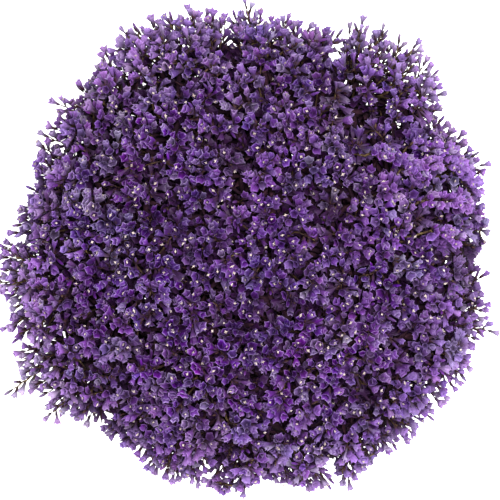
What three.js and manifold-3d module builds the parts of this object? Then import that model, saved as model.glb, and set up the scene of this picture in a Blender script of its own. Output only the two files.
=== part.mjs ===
// A short-cut bunch of dried statice: nineteen stiff flowering stems, bound at the waist with twine, that
// cross there in a spiral and splay to cut ends, so that the bunch stands by itself. Each stem carries one
// flower head, and the heads meet in a dome of papery violet calyces.
//
// Units are millimetres, +Z is up, and the cut ends stand on z = 0.

import * as THREE from "three";
import { ConvexGeometry } from "three/addons/geometries/ConvexGeometry.js";
import { mergeVertices } from "three/addons/utils/BufferGeometryUtils.js";
import Module from "manifold-3d";

const wasm = await Module();
wasm.setup();

// ---- driving dimensions ----

const SEED = 4673;
const GAP = 0.3; // clear space between two neighbouring pieces

// The dome that the calyx mouths lie on: a flattened ball, cut off a little below its widest place.
const DOME_HEIGHT = 125; // of its widest place above the ground
const DOME_RADIUS = 148;
const DOME_RISE = 85; // from the widest place to the crown
const SKIRT_LATITUDE = -18; // degrees: how far the flowers reach round below the widest place
const CELL_FOCUS = new THREE.Vector3(0, 0, 20); // the heads part along planes through this point
const CORNER_PASSES = 8; // rounds in which a point in a corner is pushed off each face in turn
const GROOVE = 4; // how far the dome dips between two heads
const GROOVE_WIDTH = 0.09; // radians, seen from the focus

// The outer heads: the azimuth of each in degrees, and how far it reaches from the bunch's axis.
const OUTER_HEADS = [
  [20, 148], [52, 155], [82, 145], [110, 150], [137, 149], [164, 144],
  [190, 150], [213, 156], [243, 143], [275, 146], [306, 150], [337, 150],
];
const OUTER_LATITUDE = 15;
const INNER_HEADS = 6;
const INNER_LATITUDE = 57;
const INNER_TURN = 8; // degrees from +X to the first inner head

// Calyces on long stalks that stand out of the dome's edge: azimuth, latitude, and reach past the dome.
const SPRIGS = [
  [21, 0, 5], [52, 8, 4], [66, 2, 4], [91, 4, 6], [142, 3, 7], [163, -4, 5],
  [187, 2, 8], [196, -6, 8], [210, 2, 14], [218, 6, 7], [292, 0, 5], [317, -3, 6], [342, 2, 8], [357, 0, 6],
];
const SPRIG_SIZE = 0.8;
const STALK_RADIUS = 1.2;
const STALK_SHARE = 0.35; // of the length from core to mouth

// The calyces, more than twice as large as life, so that a few hundred of them cover the dome.
const CALYX_COUNT = 524;
const CALYX_RADIUS = 8;
const CALYX_SPREAD = 0.12; // share by which one calyx may be larger or smaller
const CALYX_LENGTH = 17;
const CALYX_DISH = 0.36; // depth of its mouth, as a share of its length
const CALYX_SIDES = 5;
const BUD_SHARE = 0.08; // of the calyces that are still shut
const BUD_RADIUS = 2.8;
const BUD_SIDES = 4;
const BUD_BELLY = 0.62; // how far up a bud is widest, as a share of its length
const RELIEF = 6; // how far a mouth may lie under the dome
const JITTER = 3; // how far a mouth may lie to the side of its even place, before they settle
const SETTLING_PASSES = 40;
const SETTLING_SHARE = 0.35; // of an overlap that each of the two mouths gives way by in one pass
const MOUTH_GAP = 0.6;
const OVERHANG = 4; // how far a mouth may reach over the edge of its head's cell
const FAN_DEPTH = 80; // from the middle of a head's dome down to where its calyces would all meet
const GOLDEN_ANGLE = Math.PI * (3 - Math.sqrt(5));

// The dense middle of each head, where its finest branchlets tangle, and which the calyces stand out of.
const CORE_DEPTH = 17; // below the dome
const CORE_DROOP = 4; // how much deeper its edge lies
const CORE_THICKNESS = 20; // down to the corners of its underside
const CORE_INSET = 1.5; // from the edge of the head's cell
const CORE_RIM_CORNERS = 10;
const CORE_TOP_CORNERS = 7;
const CORE_TOP_SPREAD = 0.55; // of the way from the middle of the head to its edge
const CORE_FOOT_SPREAD = 0.38;
const CORE_CLEARANCE = 0.4; // between the core and the branch ends under it
const SUNK = 2; // how far a calyx's root or a branch's end would lie inside the core

// The branches that carry the core: they part at the hub on the end of the stem.
const BRANCHES = 3;
const BRANCH_ROOT_RADIUS = 1.4;
const BRANCH_TIP_RADIUS = 1.2;
const BRANCH_SIDES = 3;
const HUB_DEPTH = 56; // from the middle of a head's dome down to where its branches part
const HUB_TOP_RADIUS = 4;
const HUB_LENGTH = 6;
const HUB_TAPER = 0.8; // its lower radius, as a share of the stem's
const BRANCH_SETBACK = 1.8; // of each branch's root from the middle of the hub
const BRANCH_SEAT = 0.8; // how deep that root sits in the hub

// The stems, in three rings at the waist: a thick one in the middle, six round it, and twelve outside.
const WAIST_HEIGHT = 52;
const STEM_SIDES = 6;
const STEM_RINGS = {
  middle: { waist: 0, radius: 2.5, lean: 0 },
  inner: { waist: 5.0, radius: 2.15, lean: 0.42 },
  outer: { waist: 9.2, radius: 1.7, lean: 0.8 },
};
const STRAIGHT_ABOVE_WAIST = 6;
const STEM_ARCH = 0.4; // how far on, as a share of the way to the hub, the arch still aims straight
const STRAIGHT_STEPS = 2;
const ARCH_STEPS = 3;
const BLOCK = 60; // side of the block that cuts a stem level with the ground

// The twine: three turns side by side round the outer ring of stems, and a knot with two ends.
const TWINE_RADIUS = 1.3;
const TWINE_TURNS = 3;
const TWINE_SIDES = 16;
const TWINE_RIB = [[-1, 0.35], [-0.45, 0.95], [0.45, 0.95]]; // one turn's outline: along and out, in radii
const TWINE_END = [[9, -5, 2], [12, -6, -18]]; // from the knot, where an end bends and where it stops

// ---- materials ----

const CALYX_VIOLET = new THREE.MeshStandardMaterial({ color: 0x6a4a8e, roughness: 0.75, metalness: 0 });
const STEM_OLIVE = new THREE.MeshStandardMaterial({ color: 0x5c5334, roughness: 0.8, metalness: 0 });
const JUTE = new THREE.MeshStandardMaterial({ color: 0xa98f63, roughness: 0.95, metalness: 0 });

// ---- small helpers ----

// A repeatable stream of numbers from 0 to 1.
function randomStream(seed) {
  let state = seed >>> 0;
  return () => {
    state = (state + 0x6d2b79f5) >>> 0;
    let t = state;
    t = Math.imul(t ^ (t >>> 15), t | 1);
    t ^= t + Math.imul(t ^ (t >>> 7), t | 61);
    return ((t ^ (t >>> 14)) >>> 0) / 4294967296;
  };
}

// A closed geometry as a solid that can be joined and cut.
function solidOf(geometry) {
  const bare = geometry.clone();
  bare.deleteAttribute("normal");
  bare.deleteAttribute("uv");
  const merged = mergeVertices(bare, 1e-4);
  const index = merged.index.array;
  const kept = [];
  for (let i = 0; i < index.length; i += 3) {
    const [a, b, c] = [index[i], index[i + 1], index[i + 2]];
    if (a !== b && b !== c && a !== c) kept.push(a, b, c);
  }
  const mesh = new wasm.Mesh({
    numProp: 3,
    vertProperties: new Float32Array(merged.attributes.position.array),
    triVerts: new Uint32Array(kept),
  });
  return new wasm.Manifold(mesh);
}

// A solid as a flat-shaded geometry.
function geometryOf(solid) {
  const { vertProperties, triVerts } = solid.getMesh();
  const geometry = new THREE.BufferGeometry();
  geometry.setAttribute("position", new THREE.BufferAttribute(new Float32Array(vertProperties), 3));
  geometry.setIndex(new THREE.BufferAttribute(new Uint32Array(triVerts), 1));
  geometry.computeVertexNormals();
  return geometry;
}

// A mesh named `name` whose own origin is at `origin`, from a solid in the bunch's frame.
function pieceOf(name, solid, origin, material) {
  const geometry = geometryOf(solid);
  geometry.translate(-origin.x, -origin.y, -origin.z);
  const mesh = new THREE.Mesh(geometry, material);
  mesh.name = name;
  mesh.position.copy(origin);
  return mesh;
}

const Y_AXIS = new THREE.Vector3(0, 1, 0);

// Moves a geometry that runs along +Y from the origin so that it runs from `root` along `direction`.
function aim(geometry, root, direction, twist = 0) {
  const turn = new THREE.Quaternion().setFromUnitVectors(Y_AXIS, direction.clone().normalize());
  geometry.rotateY(twist);
  geometry.applyMatrix4(new THREE.Matrix4().makeRotationFromQuaternion(turn).setPosition(root));
  return geometry;
}

const radians = THREE.MathUtils.degToRad;
const unitTo = (from, to) => to.clone().sub(from).normalize();

// ---- the dome ----

// How far the dome reaches from the axis at an azimuth in radians: each outer head's reach, eased between.
function outlineRadius(azimuth) {
  const turn = THREE.MathUtils.euclideanModulo(THREE.MathUtils.radToDeg(azimuth), 360);
  const count = OUTER_HEADS.length;
  for (let i = 0; i < count; i++) {
    const [start, reach] = OUTER_HEADS[i];
    const [next, nextReach] = OUTER_HEADS[(i + 1) % count];
    const span = THREE.MathUtils.euclideanModulo(next - start, 360);
    const past = THREE.MathUtils.euclideanModulo(turn - start, 360);
    if (past <= span) {
      const share = (1 - Math.cos((Math.PI * past) / span)) / 2;
      return reach + (nextReach - reach) * share;
    }
  }
  return DOME_RADIUS;
}

// The point of the dome at an azimuth and a latitude, both in radians.
function domePoint(azimuth, latitude) {
  const level = Math.cos(latitude);
  const reach = DOME_RADIUS + (outlineRadius(azimuth) - DOME_RADIUS) * level * level;
  return new THREE.Vector3(
    reach * level * Math.cos(azimuth),
    reach * level * Math.sin(azimuth),
    DOME_HEIGHT + DOME_RISE * Math.sin(latitude),
  );
}

// The point of the dome that lies along a direction from the focus.
function domeAlong(direction) {
  const azimuth = Math.atan2(direction.y, direction.x);
  const outward = Math.hypot(direction.x, direction.y);
  let low = -Math.PI / 2;
  let high = Math.PI / 2;
  for (let i = 0; i < 40; i++) {
    const latitude = (low + high) / 2;
    const point = domePoint(azimuth, latitude).sub(CELL_FOCUS);
    if (point.z * outward > Math.hypot(point.x, point.y) * direction.z) high = latitude;
    else low = latitude;
  }
  return domePoint(azimuth, low);
}

// Latitudes, from the crown to the skirt, that part the dome into `count` bands of equal area.
function evenLatitudes(count) {
  const steps = 400;
  const top = Math.PI / 2;
  const bottom = radians(SKIRT_LATITUDE);
  const areas = [0];
  for (let i = 0; i < steps; i++) {
    const latitude = top + ((bottom - top) * (i + 0.5)) / steps;
    const slope = Math.hypot(DOME_RADIUS * Math.sin(latitude), DOME_RISE * Math.cos(latitude));
    areas.push(areas[i] + Math.cos(latitude) * slope);
  }
  const found = [];
  let step = 0;
  for (let i = 0; i < count; i++) {
    const wanted = (areas[steps] * (i + 0.5)) / count;
    while (areas[step + 1] < wanted) step++;
    const share = (wanted - areas[step]) / (areas[step + 1] - areas[step]);
    found.push(top + ((bottom - top) * (step + share)) / steps);
  }
  return found;
}

// ---- the heads ----

function makeHeads() {
  const places = [{ ring: "middle", azimuth: 0, latitude: 90 }];
  for (let i = 0; i < INNER_HEADS; i++) {
    places.push({ ring: "inner", azimuth: INNER_TURN + (360 / INNER_HEADS) * i, latitude: INNER_LATITUDE });
  }
  for (const [azimuth] of OUTER_HEADS) places.push({ ring: "outer", azimuth, latitude: OUTER_LATITUDE });
  return places.map((place, index) => {
    const azimuth = radians(place.azimuth);
    const crown = domePoint(azimuth, radians(place.latitude));
    const direction = unitTo(CELL_FOCUS, crown);
    const hub = crown.clone().addScaledVector(direction, -HUB_DEPTH);
    return { ...place, index, azimuth, crown, direction, hub, calyces: [] };
  });
}

// The head whose direction from the focus is nearest to a point, and how near the next one is.
function nearestHeads(heads, point) {
  const direction = unitTo(CELL_FOCUS, point);
  const ranked = heads
    .map((head) => ({ head, angle: direction.angleTo(head.direction) }))
    .sort((a, b) => a.angle - b.angle);
  return [ranked[0].head, ranked[1].angle - ranked[0].angle];
}

// Moves a point sideways until it lies at least `room` inside its head's cell.
function keepInCell(heads, head, point, room) {
  for (let pass = 0; pass < CORNER_PASSES; pass++) {
    for (const other of heads) {
      if (other === head) continue;
      const across = head.direction.clone().sub(other.direction).normalize();
      const inside = point.clone().sub(CELL_FOCUS).dot(across);
      if (inside < room) point.addScaledVector(across, room - inside);
    }
  }
}

// Spreads the calyx mouths evenly over the dome and deals them out to the heads.
function placeCalyces(heads, random) {
  evenLatitudes(CALYX_COUNT).forEach((evenLatitude, i) => {
    const evenAzimuth = i * GOLDEN_ANGLE;
    const level = Math.max(Math.cos(evenLatitude), 0.05);
    const azimuth = evenAzimuth + ((random() - 0.5) * 2 * JITTER) / (DOME_RADIUS * level);
    const latitude = evenLatitude + ((random() - 0.5) * 2 * JITTER) / DOME_RADIUS;
    const mouth = domePoint(azimuth, latitude);
    const [head, lead] = nearestHeads(heads, mouth);
    const groove = GROOVE * Math.exp(-lead / GROOVE_WIDTH);
    mouth.addScaledVector(unitTo(CELL_FOCUS, mouth), -groove - random() * RELIEF);
    const size = 1 + (random() - 0.5) * 2 * CALYX_SPREAD;
    const bud = random() < BUD_SHARE;
    head.calyces.push({ mouth, size, bud, twist: random() * Math.PI * 2 });
  });
}

const mouthRadius = (calyx) => calyx.size * (calyx.bud ? BUD_RADIUS : CALYX_RADIUS);

// Lets the mouths shoulder each other aside until they no longer overlap. One may lean a little way over
// the edge of its head's cell where there is room.
function settleCalyces(heads) {
  const places = heads.flatMap((head) => head.calyces.map((calyx) => ({ head, calyx })));
  for (let pass = 0; pass < SETTLING_PASSES; pass++) {
    const pushes = places.map(() => new THREE.Vector3());
    places.forEach(({ calyx }, i) => {
      const out = unitTo(CELL_FOCUS, calyx.mouth);
      for (let j = i + 1; j < places.length; j++) {
        const apart = places[j].calyx.mouth.clone().sub(calyx.mouth);
        const overlap = mouthRadius(calyx) + mouthRadius(places[j].calyx) + MOUTH_GAP - apart.length();
        if (overlap <= 0) continue;
        apart.addScaledVector(out, -apart.dot(out)).normalize();
        pushes[i].addScaledVector(apart, -overlap * SETTLING_SHARE);
        pushes[j].addScaledVector(apart, overlap * SETTLING_SHARE);
      }
    });
    places.forEach(({ head, calyx }, i) => {
      calyx.mouth.add(pushes[i]);
      keepInCell(heads, head, calyx.mouth, mouthRadius(calyx) - OVERHANG);
    });
  }
}

// The directions, from the focus, at `share` of the way from a head's middle to the edge of its cell.
function cellDirections(heads, head, share, corners) {
  const side = new THREE.Vector3(0, 0, 1).cross(head.direction);
  if (side.lengthSq() < 1e-6) side.set(1, 0, 0);
  side.normalize();
  const up = head.direction.clone().cross(side);
  const lowest = domePoint(head.azimuth, radians(SKIRT_LATITUDE)).z;
  const inset = CORE_INSET / CELL_FOCUS.distanceTo(head.crown);
  const step = radians(0.5);
  const found = [];
  for (let i = 0; i < corners; i++) {
    const turn = ((i + 0.5) * Math.PI * 2) / corners;
    const across = side.clone().multiplyScalar(Math.cos(turn)).addScaledVector(up, Math.sin(turn));
    const leaning = (lean) =>
      across.clone().multiplyScalar(Math.sin(lean)).addScaledVector(head.direction, Math.cos(lean));
    const insideAt = (lean) => {
      const point = domeAlong(leaning(lean));
      return point.z > lowest && nearestHeads(heads, point)[0] === head;
    };
    let lean = 0;
    while (insideAt(lean + step)) lean += step;
    found.push(leaning((lean - inset) * share));
  }
  return found;
}

// The core: a faceted cushion under the dome that fills the head's cell but for its edge. Its underside
// has one corner for each branch.
function makeCore(heads, head) {
  const sunk = (direction, depth) => {
    const point = domeAlong(direction);
    return point.addScaledVector(unitTo(point, CELL_FOCUS), depth);
  };
  const ring = (share, corners, depth) =>
    cellDirections(heads, head, share, corners).map((direction) => sunk(direction, depth));
  const feet = ring(CORE_FOOT_SPREAD, BRANCHES, CORE_DEPTH + CORE_THICKNESS);
  const geometry = new ConvexGeometry([
    sunk(head.direction, CORE_DEPTH),
    ...ring(CORE_TOP_SPREAD, CORE_TOP_CORNERS, CORE_DEPTH),
    ...ring(1, CORE_RIM_CORNERS, CORE_DEPTH + CORE_DROOP),
    ...feet,
  ]);
  return { geometry, feet, faces: facePlanes(geometry) };
}

// The planes of a geometry's faces.
function facePlanes(geometry) {
  const corners = geometry.attributes.position;
  const planes = [];
  for (let i = 0; i < corners.count; i += 3) {
    const [a, b, c] = [0, 1, 2].map((k) => new THREE.Vector3().fromBufferAttribute(corners, i + k));
    planes.push(new THREE.Plane().setFromCoplanarPoints(a, b, c));
  }
  return planes;
}

// The first point along a line that lies `depth` under the core's face, or the nearest such point to it.
function reachIntoCore(core, start, along, depth) {
  let travel = 0;
  for (const face of core.faces) {
    const closing = -face.normal.dot(along);
    if (closing > 0.2) travel = Math.max(travel, (face.distanceToPoint(start) + depth) / closing);
  }
  return sinkIntoCore(core, start.clone().addScaledVector(along, travel), depth);
}

// Moves a point inwards until it lies at least `depth` under every face of the core.
function sinkIntoCore(core, point, depth) {
  for (let pass = 0; pass < CORNER_PASSES; pass++) {
    for (const face of core.faces) {
      const over = face.distanceToPoint(point) + depth;
      if (over > 0) point.addScaledVector(face.normal, -over);
    }
  }
  return point;
}

// Draws the calyx nearest to each listed place out of the dome's edge, on a longer stalk.
function drawOutSprigs(heads) {
  const everyCalyx = heads.flatMap((head) => head.calyces.map((calyx) => ({ head, calyx })));
  for (const [azimuthDegrees, latitudeDegrees, reach] of SPRIGS) {
    const edge = domePoint(radians(azimuthDegrees), radians(latitudeDegrees));
    const distances = everyCalyx.map(({ calyx }) => calyx.mouth.distanceTo(edge));
    const { head, calyx } = everyCalyx[distances.indexOf(Math.min(...distances))];
    calyx.mouth.copy(edge).addScaledVector(unitTo(head.hub, edge), reach);
    calyx.size *= SPRIG_SIZE;
    calyx.stalked = true;
    keepInCell(heads, head, calyx.mouth, mouthRadius(calyx) + GAP);
  }
}

// One calyx from its root to its mouth: a five-sided funnel with a dished mouth, or a closed bud.
function calyxSolid(root, calyx) {
  const length = root.distanceTo(calyx.mouth);
  const radius = mouthRadius(calyx);
  const profile = calyx.bud
    ? [[0, 0], [radius, length * BUD_BELLY], [0, length]]
    : [[0, 0], [radius, length], [0, length - CALYX_DISH * CALYX_LENGTH]];
  if (calyx.stalked) profile.splice(1, 0, [STALK_RADIUS, length * STALK_SHARE]);
  const sides = calyx.bud ? BUD_SIDES : CALYX_SIDES;
  const geometry = new THREE.LatheGeometry(profile.map(([x, y]) => new THREE.Vector2(x, y)), sides);
  return solidOf(aim(geometry, root, unitTo(root, calyx.mouth), calyx.twist));
}

// A head's core with its calyces, as one body.
function headSolid(head) {
  const fan = head.crown.clone().addScaledVector(head.direction, -FAN_DEPTH);
  let whole = solidOf(head.core.geometry);
  for (const calyx of head.calyces) {
    const root = reachIntoCore(head.core, calyx.mouth, unitTo(calyx.mouth, fan), SUNK);
    whole = whole.add(calyxSolid(root, calyx));
  }
  return whole;
}

// ---- the stems ----

// A stem's line: straight from below the ground to just above the twine, then arching out to its head's hub.
function stemCurve(head) {
  const { waist, lean } = STEM_RINGS[head.ring];
  const atWaist = new THREE.Vector3(waist * Math.cos(head.slot), waist * Math.sin(head.slot), WAIST_HEIGHT);
  const along = new THREE.Vector3(-lean * Math.sin(head.slot), lean * Math.cos(head.slot), 1).normalize();
  const top = atWaist.clone().addScaledVector(along, STRAIGHT_ABOVE_WAIST);
  const bend = top.clone().addScaledVector(along, STEM_ARCH * top.distanceTo(head.hub));
  const arch = new THREE.QuadraticBezierCurve3(top, bend, head.hub);
  const straight = (arch.getLength() * STRAIGHT_STEPS) / ARCH_STEPS;
  const curve = new THREE.CurvePath();
  curve.add(new THREE.LineCurve3(top.clone().addScaledVector(along, -straight), top));
  curve.add(arch);
  return curve;
}

// Evenly spaced places round the waist, turned so that the stems bend as little as they can.
function assignWaistSlots(heads) {
  for (const ring of ["middle", "inner", "outer"]) {
    const members = heads.filter((head) => head.ring === ring);
    const { waist } = STEM_RINGS[ring];
    const lead = members.map((head) => {
      const reach = Math.hypot(head.hub.x, head.hub.y);
      return waist ? head.azimuth - Math.acos(waist / reach) : 0;
    });
    const pitch = (Math.PI * 2) / members.length;
    const start = lead.reduce((sum, angle, i) => sum + angle - i * pitch, 0) / members.length;
    members.forEach((head, i) => (head.slot = start + i * pitch));
  }
}

// A rod along a stem's line, with a six-sided section.
function rodSolid(curve, radius) {
  const section = new THREE.Shape();
  for (let i = 0; i < STEM_SIDES; i++) {
    const angle = (i * Math.PI * 2) / STEM_SIDES;
    section[i ? "lineTo" : "moveTo"](radius * Math.cos(angle), radius * Math.sin(angle));
  }
  const steps = STRAIGHT_STEPS + ARCH_STEPS;
  return solidOf(new THREE.ExtrudeGeometry(section, { steps, bevelEnabled: false, extrudePath: curve }));
}

// A tapering three-edged branch between two points.
function branchSolid(from, to) {
  const length = from.distanceTo(to);
  const geometry = new THREE.CylinderGeometry(BRANCH_TIP_RADIUS, BRANCH_ROOT_RADIUS, length, BRANCH_SIDES);
  geometry.translate(0, length / 2, 0);
  return solidOf(aim(geometry, from, unitTo(from, to)));
}

// One stem with the hub on its end and the branches that part there, as one body. It is cut level with the
// ground, and its branches just short of the core that they carry.
function stemSolid(head, curve) {
  const { radius } = STEM_RINGS[head.ring];
  const along = curve.getTangent(1);
  const hub = new THREE.CylinderGeometry(HUB_TOP_RADIUS, radius * HUB_TAPER, HUB_LENGTH, STEM_SIDES);
  let whole = rodSolid(curve, radius).add(solidOf(aim(hub, head.hub, along)));
  const fork = head.hub.clone().addScaledVector(along, HUB_LENGTH / 2 - BRANCH_SEAT);
  for (const foot of head.core.feet) {
    const into = sinkIntoCore(head.core, foot.clone(), BRANCH_ROOT_RADIUS + SUNK);
    const out = unitTo(fork, into);
    const aside = out.clone().addScaledVector(along, -out.dot(along)).normalize();
    whole = whole.add(branchSolid(fork.clone().addScaledVector(aside, BRANCH_SETBACK), into));
  }
  const foot = curve.getPoint(0);
  const ground = new THREE.BoxGeometry(BLOCK, BLOCK, BLOCK).translate(foot.x, foot.y, -BLOCK / 2);
  const lowered = head.direction.clone().multiplyScalar(-CORE_CLEARANCE);
  const core = head.core.geometry.clone().translate(lowered.x, lowered.y, lowered.z);
  return whole.subtract(solidOf(ground)).subtract(solidOf(core));
}

// ---- the twine ----

// The radius, at a height above the waist, of the surface that the leaning outer stems touch.
function bundleRadius(rise) {
  const { waist, radius, lean } = STEM_RINGS.outer;
  return Math.hypot(waist + radius, rise * lean);
}

// Turns side by side as one ribbed ring, with a knot on it and two short ends.
function twineSolid() {
  const outside = [];
  for (let turn = 0; turn < TWINE_TURNS; turn++) {
    const middle = (turn - (TWINE_TURNS - 1) / 2) * 2 * TWINE_RADIUS;
    for (const [along, out] of TWINE_RIB) {
      const rise = middle + along * TWINE_RADIUS;
      outside.push([bundleRadius(rise) + GAP + TWINE_RADIUS * (1 + out), rise]);
    }
  }
  const half = TWINE_TURNS * TWINE_RADIUS;
  outside.push([bundleRadius(half) + GAP + TWINE_RADIUS * (1 + TWINE_RIB[0][1]), half]);
  const inside = [half, 0, -half].map((rise) => [bundleRadius(rise) + GAP, rise]);
  const profile = [...outside, ...inside, outside[0]].map(([x, y]) => new THREE.Vector2(x, y));
  const ring = new THREE.LatheGeometry(profile, TWINE_SIDES);
  const waist = new THREE.Vector3(0, 0, WAIST_HEIGHT);
  let whole = solidOf(aim(ring, waist, new THREE.Vector3(0, 0, 1)));

  const knotAt = waist.clone().setY(-bundleRadius(0) - GAP - TWINE_RADIUS * 2);
  const knot = new THREE.SphereGeometry(TWINE_RADIUS * 1.9, 6, 4).translate(...knotAt.toArray());
  whole = whole.add(solidOf(knot));
  const section = new THREE.Shape().absarc(0, 0, TWINE_RADIUS * 0.8, 0, Math.PI * 2);
  for (const side of [-1, 1]) {
    const [bend, end] = TWINE_END.map(([x, y, z]) => knotAt.clone().add(new THREE.Vector3(side * x, y, z)));
    const hang = new THREE.QuadraticBezierCurve3(knotAt, bend, end);
    const shape = { steps: 3, curveSegments: 5, bevelEnabled: false, extrudePath: hang };
    whole = whole.add(solidOf(new THREE.ExtrudeGeometry(section, shape)));
  }
  return whole;
}

// ---- the bunch ----

const random = randomStream(SEED);
const heads = makeHeads();
placeCalyces(heads, random);
settleCalyces(heads);
for (const head of heads) head.core = makeCore(heads, head);
drawOutSprigs(heads);
assignWaistSlots(heads);

const bunch = new THREE.Group();
for (const head of heads) {
  const number = String(head.index + 1).padStart(2, "0");
  const curve = stemCurve(head);
  const foot = curve.getPoint(0).setZ(0);
  bunch.add(pieceOf(`flower_head_${number}`, headSolid(head), head.crown, CALYX_VIOLET));
  bunch.add(pieceOf(`stem_${number}`, stemSolid(head, curve), foot, STEM_OLIVE));
}
bunch.add(pieceOf("twine_tie", twineSolid(), new THREE.Vector3(0, 0, WAIST_HEIGHT), JUTE));

// The part's origin is the middle of the ground that its outline covers.
const outline = new THREE.Box3().setFromObject(bunch);
const middle = outline.getCenter(new THREE.Vector3());
bunch.position.set(-middle.x, -middle.y, 0);

export default bunch;
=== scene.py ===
# %% [markdown]
# # A bunch of dried statice
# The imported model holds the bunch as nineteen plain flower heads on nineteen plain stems, bound with
# twine. It is right in size and place, but its calyces are few, large and faceted. This script keeps it
# as a fixed frame and grows the life-size flowers, branchlets, stems and twine in its place.

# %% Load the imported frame
import math

import bpy
import numpy as np
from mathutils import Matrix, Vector
from mathutils.kdtree import KDTree


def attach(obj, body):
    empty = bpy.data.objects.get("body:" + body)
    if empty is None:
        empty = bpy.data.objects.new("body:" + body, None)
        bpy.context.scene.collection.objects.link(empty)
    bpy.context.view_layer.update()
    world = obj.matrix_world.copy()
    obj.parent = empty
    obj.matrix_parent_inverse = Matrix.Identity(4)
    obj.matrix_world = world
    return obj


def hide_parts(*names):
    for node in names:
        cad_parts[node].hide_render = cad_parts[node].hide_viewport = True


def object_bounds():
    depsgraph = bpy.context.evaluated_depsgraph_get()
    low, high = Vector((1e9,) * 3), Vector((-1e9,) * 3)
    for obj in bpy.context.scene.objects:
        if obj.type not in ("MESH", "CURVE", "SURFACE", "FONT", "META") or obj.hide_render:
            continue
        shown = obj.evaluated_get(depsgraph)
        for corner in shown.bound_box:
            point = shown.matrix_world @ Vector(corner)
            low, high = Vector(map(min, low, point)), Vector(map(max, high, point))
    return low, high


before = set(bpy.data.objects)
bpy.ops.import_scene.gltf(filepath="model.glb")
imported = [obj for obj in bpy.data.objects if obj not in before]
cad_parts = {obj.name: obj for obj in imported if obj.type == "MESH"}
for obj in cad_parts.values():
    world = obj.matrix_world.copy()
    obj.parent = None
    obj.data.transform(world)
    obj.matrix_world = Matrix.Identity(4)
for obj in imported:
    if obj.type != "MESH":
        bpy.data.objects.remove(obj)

CAD_BOX = [list(corner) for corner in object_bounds()]
print("frame:", len(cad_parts), "nodes, from", CAD_BOX[0], "to", CAD_BOX[1])

# %% [markdown]
# ## One unit, one axis
# The bunch is worked out in millimetres round its own upright axis, and turned into Blender's metres only
# when a mesh is made. The frame's origin is the middle of the whole outline, which isn't quite the axis.
# The middle stem stands straight on the axis, so the foot of that stem says where the axis is.

# %% Find the axis
MM = 0.001
FOOT = 1 * MM  # the corners of a stem's foot are lower than this
middle_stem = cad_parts["stem_01"]
stem_corners = np.array([vertex.co for vertex in middle_stem.data.vertices])
AXIS = stem_corners[stem_corners[:, 2] < FOOT].mean(axis=0) * [1, 1, 0]
print("axis of the bunch at", (AXIS / MM).round(2), "mm")

# %% [markdown]
# ## The camera
# A bunch like this is looked at from straight above, where the flowers close up into one round cushion.
# A long lens from well above keeps the flowers at the edge as large as those in the middle. The camera
# hangs over the frame's origin, the middle of the outline, and needs no turning: Blender's camera looks
# down by itself, with +Y towards the top of the frame.

# %% Hang the camera
WIDEST_PLACE = 0.125  # metres from the table up to the widest place of the dome
VIEW_HEIGHT = 1.6  # metres from there up to the camera
VIEW_WIDTH = 0.306  # metres that the frame spans at that place
SENSOR = 36.0  # millimetres

camera_data = bpy.data.cameras.new("camera")
camera_data.sensor_width = SENSOR
camera_data.lens = SENSOR * VIEW_HEIGHT / VIEW_WIDTH
camera = bpy.data.objects.new("camera", camera_data)
camera.location = (0, 0, VIEW_HEIGHT + WIDEST_PLACE)
bpy.context.scene.collection.objects.link(camera)
bpy.context.scene.camera = camera
print("lens", round(camera_data.lens), "mm")

# %% [markdown]
# ## The plan of the bunch
# Where each flower grows is a rule and not a list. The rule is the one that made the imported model: a
# flattened ball, nineteen heads that share it, and a spray of flowers for each of the model's calyces.
# Running the same rule here, with the same repeatable numbers, puts the fine flowers where the plain
# ones are. From here on, lengths are in millimetres. Azimuths and latitudes are written in degrees and
# turned to radians before a function gets them.

# %% A repeatable stream of numbers from 0 to 1
SEED = 4673


def number_stream(seed):
    """A well-known small generator, mulberry32, which gives the same numbers in any language."""
    state = seed

    def draw():
        nonlocal state
        state = (state + 0x6D2B79F5) & 0xFFFFFFFF
        mixed = ((state ^ (state >> 15)) * (state | 1)) & 0xFFFFFFFF
        mixed ^= (mixed + ((mixed ^ (mixed >> 7)) * (mixed | 61))) & 0xFFFFFFFF
        return (mixed ^ (mixed >> 14)) / 4294967296

    return draw


first = number_stream(SEED)
print("the first numbers:", [round(first(), 4) for _ in range(3)])


# %% Two helpers for rows of vectors
def unit(vectors):
    return vectors / np.linalg.norm(vectors, axis=-1, keepdims=True)


def dot(a, b):
    return (a * b).sum(axis=-1)


print("a unit vector:", unit(np.array([3.0, 0.0, 4.0])))

# %% The dome: a flattened ball with an uneven edge
DOME_HEIGHT = 125  # of its widest place over the table
DOME_RADIUS = 148
DOME_RISE = 85  # of its crown over the widest place
OUTER_HEADS = [  # azimuth of each head at the edge, and how far the edge reaches there
    (20, 148), (52, 155), (82, 145), (110, 150), (137, 149), (164, 144),
    (190, 150), (213, 156), (243, 143), (275, 146), (306, 150), (337, 150),
]


def outline_radius(azimuth):
    """How far the edge reaches there, in soft waves from each outer head to the next."""
    starts = np.array([start for start, _ in OUTER_HEADS])
    reaches = np.array([reach for _, reach in OUTER_HEADS])
    turn = np.degrees(azimuth) % 360
    here = (np.searchsorted(starts, turn, side="right") - 1) % len(starts)
    following = (here + 1) % len(starts)
    span = (starts[following] - starts[here]) % 360
    past = (turn - starts[here]) % 360
    share = (1 - np.cos(np.pi * past / span)) / 2
    return reaches[here] + (reaches[following] - reaches[here]) * share


def dome_point(azimuth, latitude):
    """The point of the dome at an azimuth and a latitude, or a row of points for rows of them."""
    level = np.cos(latitude)
    reach = DOME_RADIUS + (outline_radius(azimuth) - DOME_RADIUS) * level**2
    height = DOME_HEIGHT + DOME_RISE * np.sin(latitude)
    return np.stack([reach * level * np.cos(azimuth), reach * level * np.sin(azimuth), height], axis=-1)


print("the crown is", dome_point(0.0, math.pi / 2)[2], "mm up")

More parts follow.
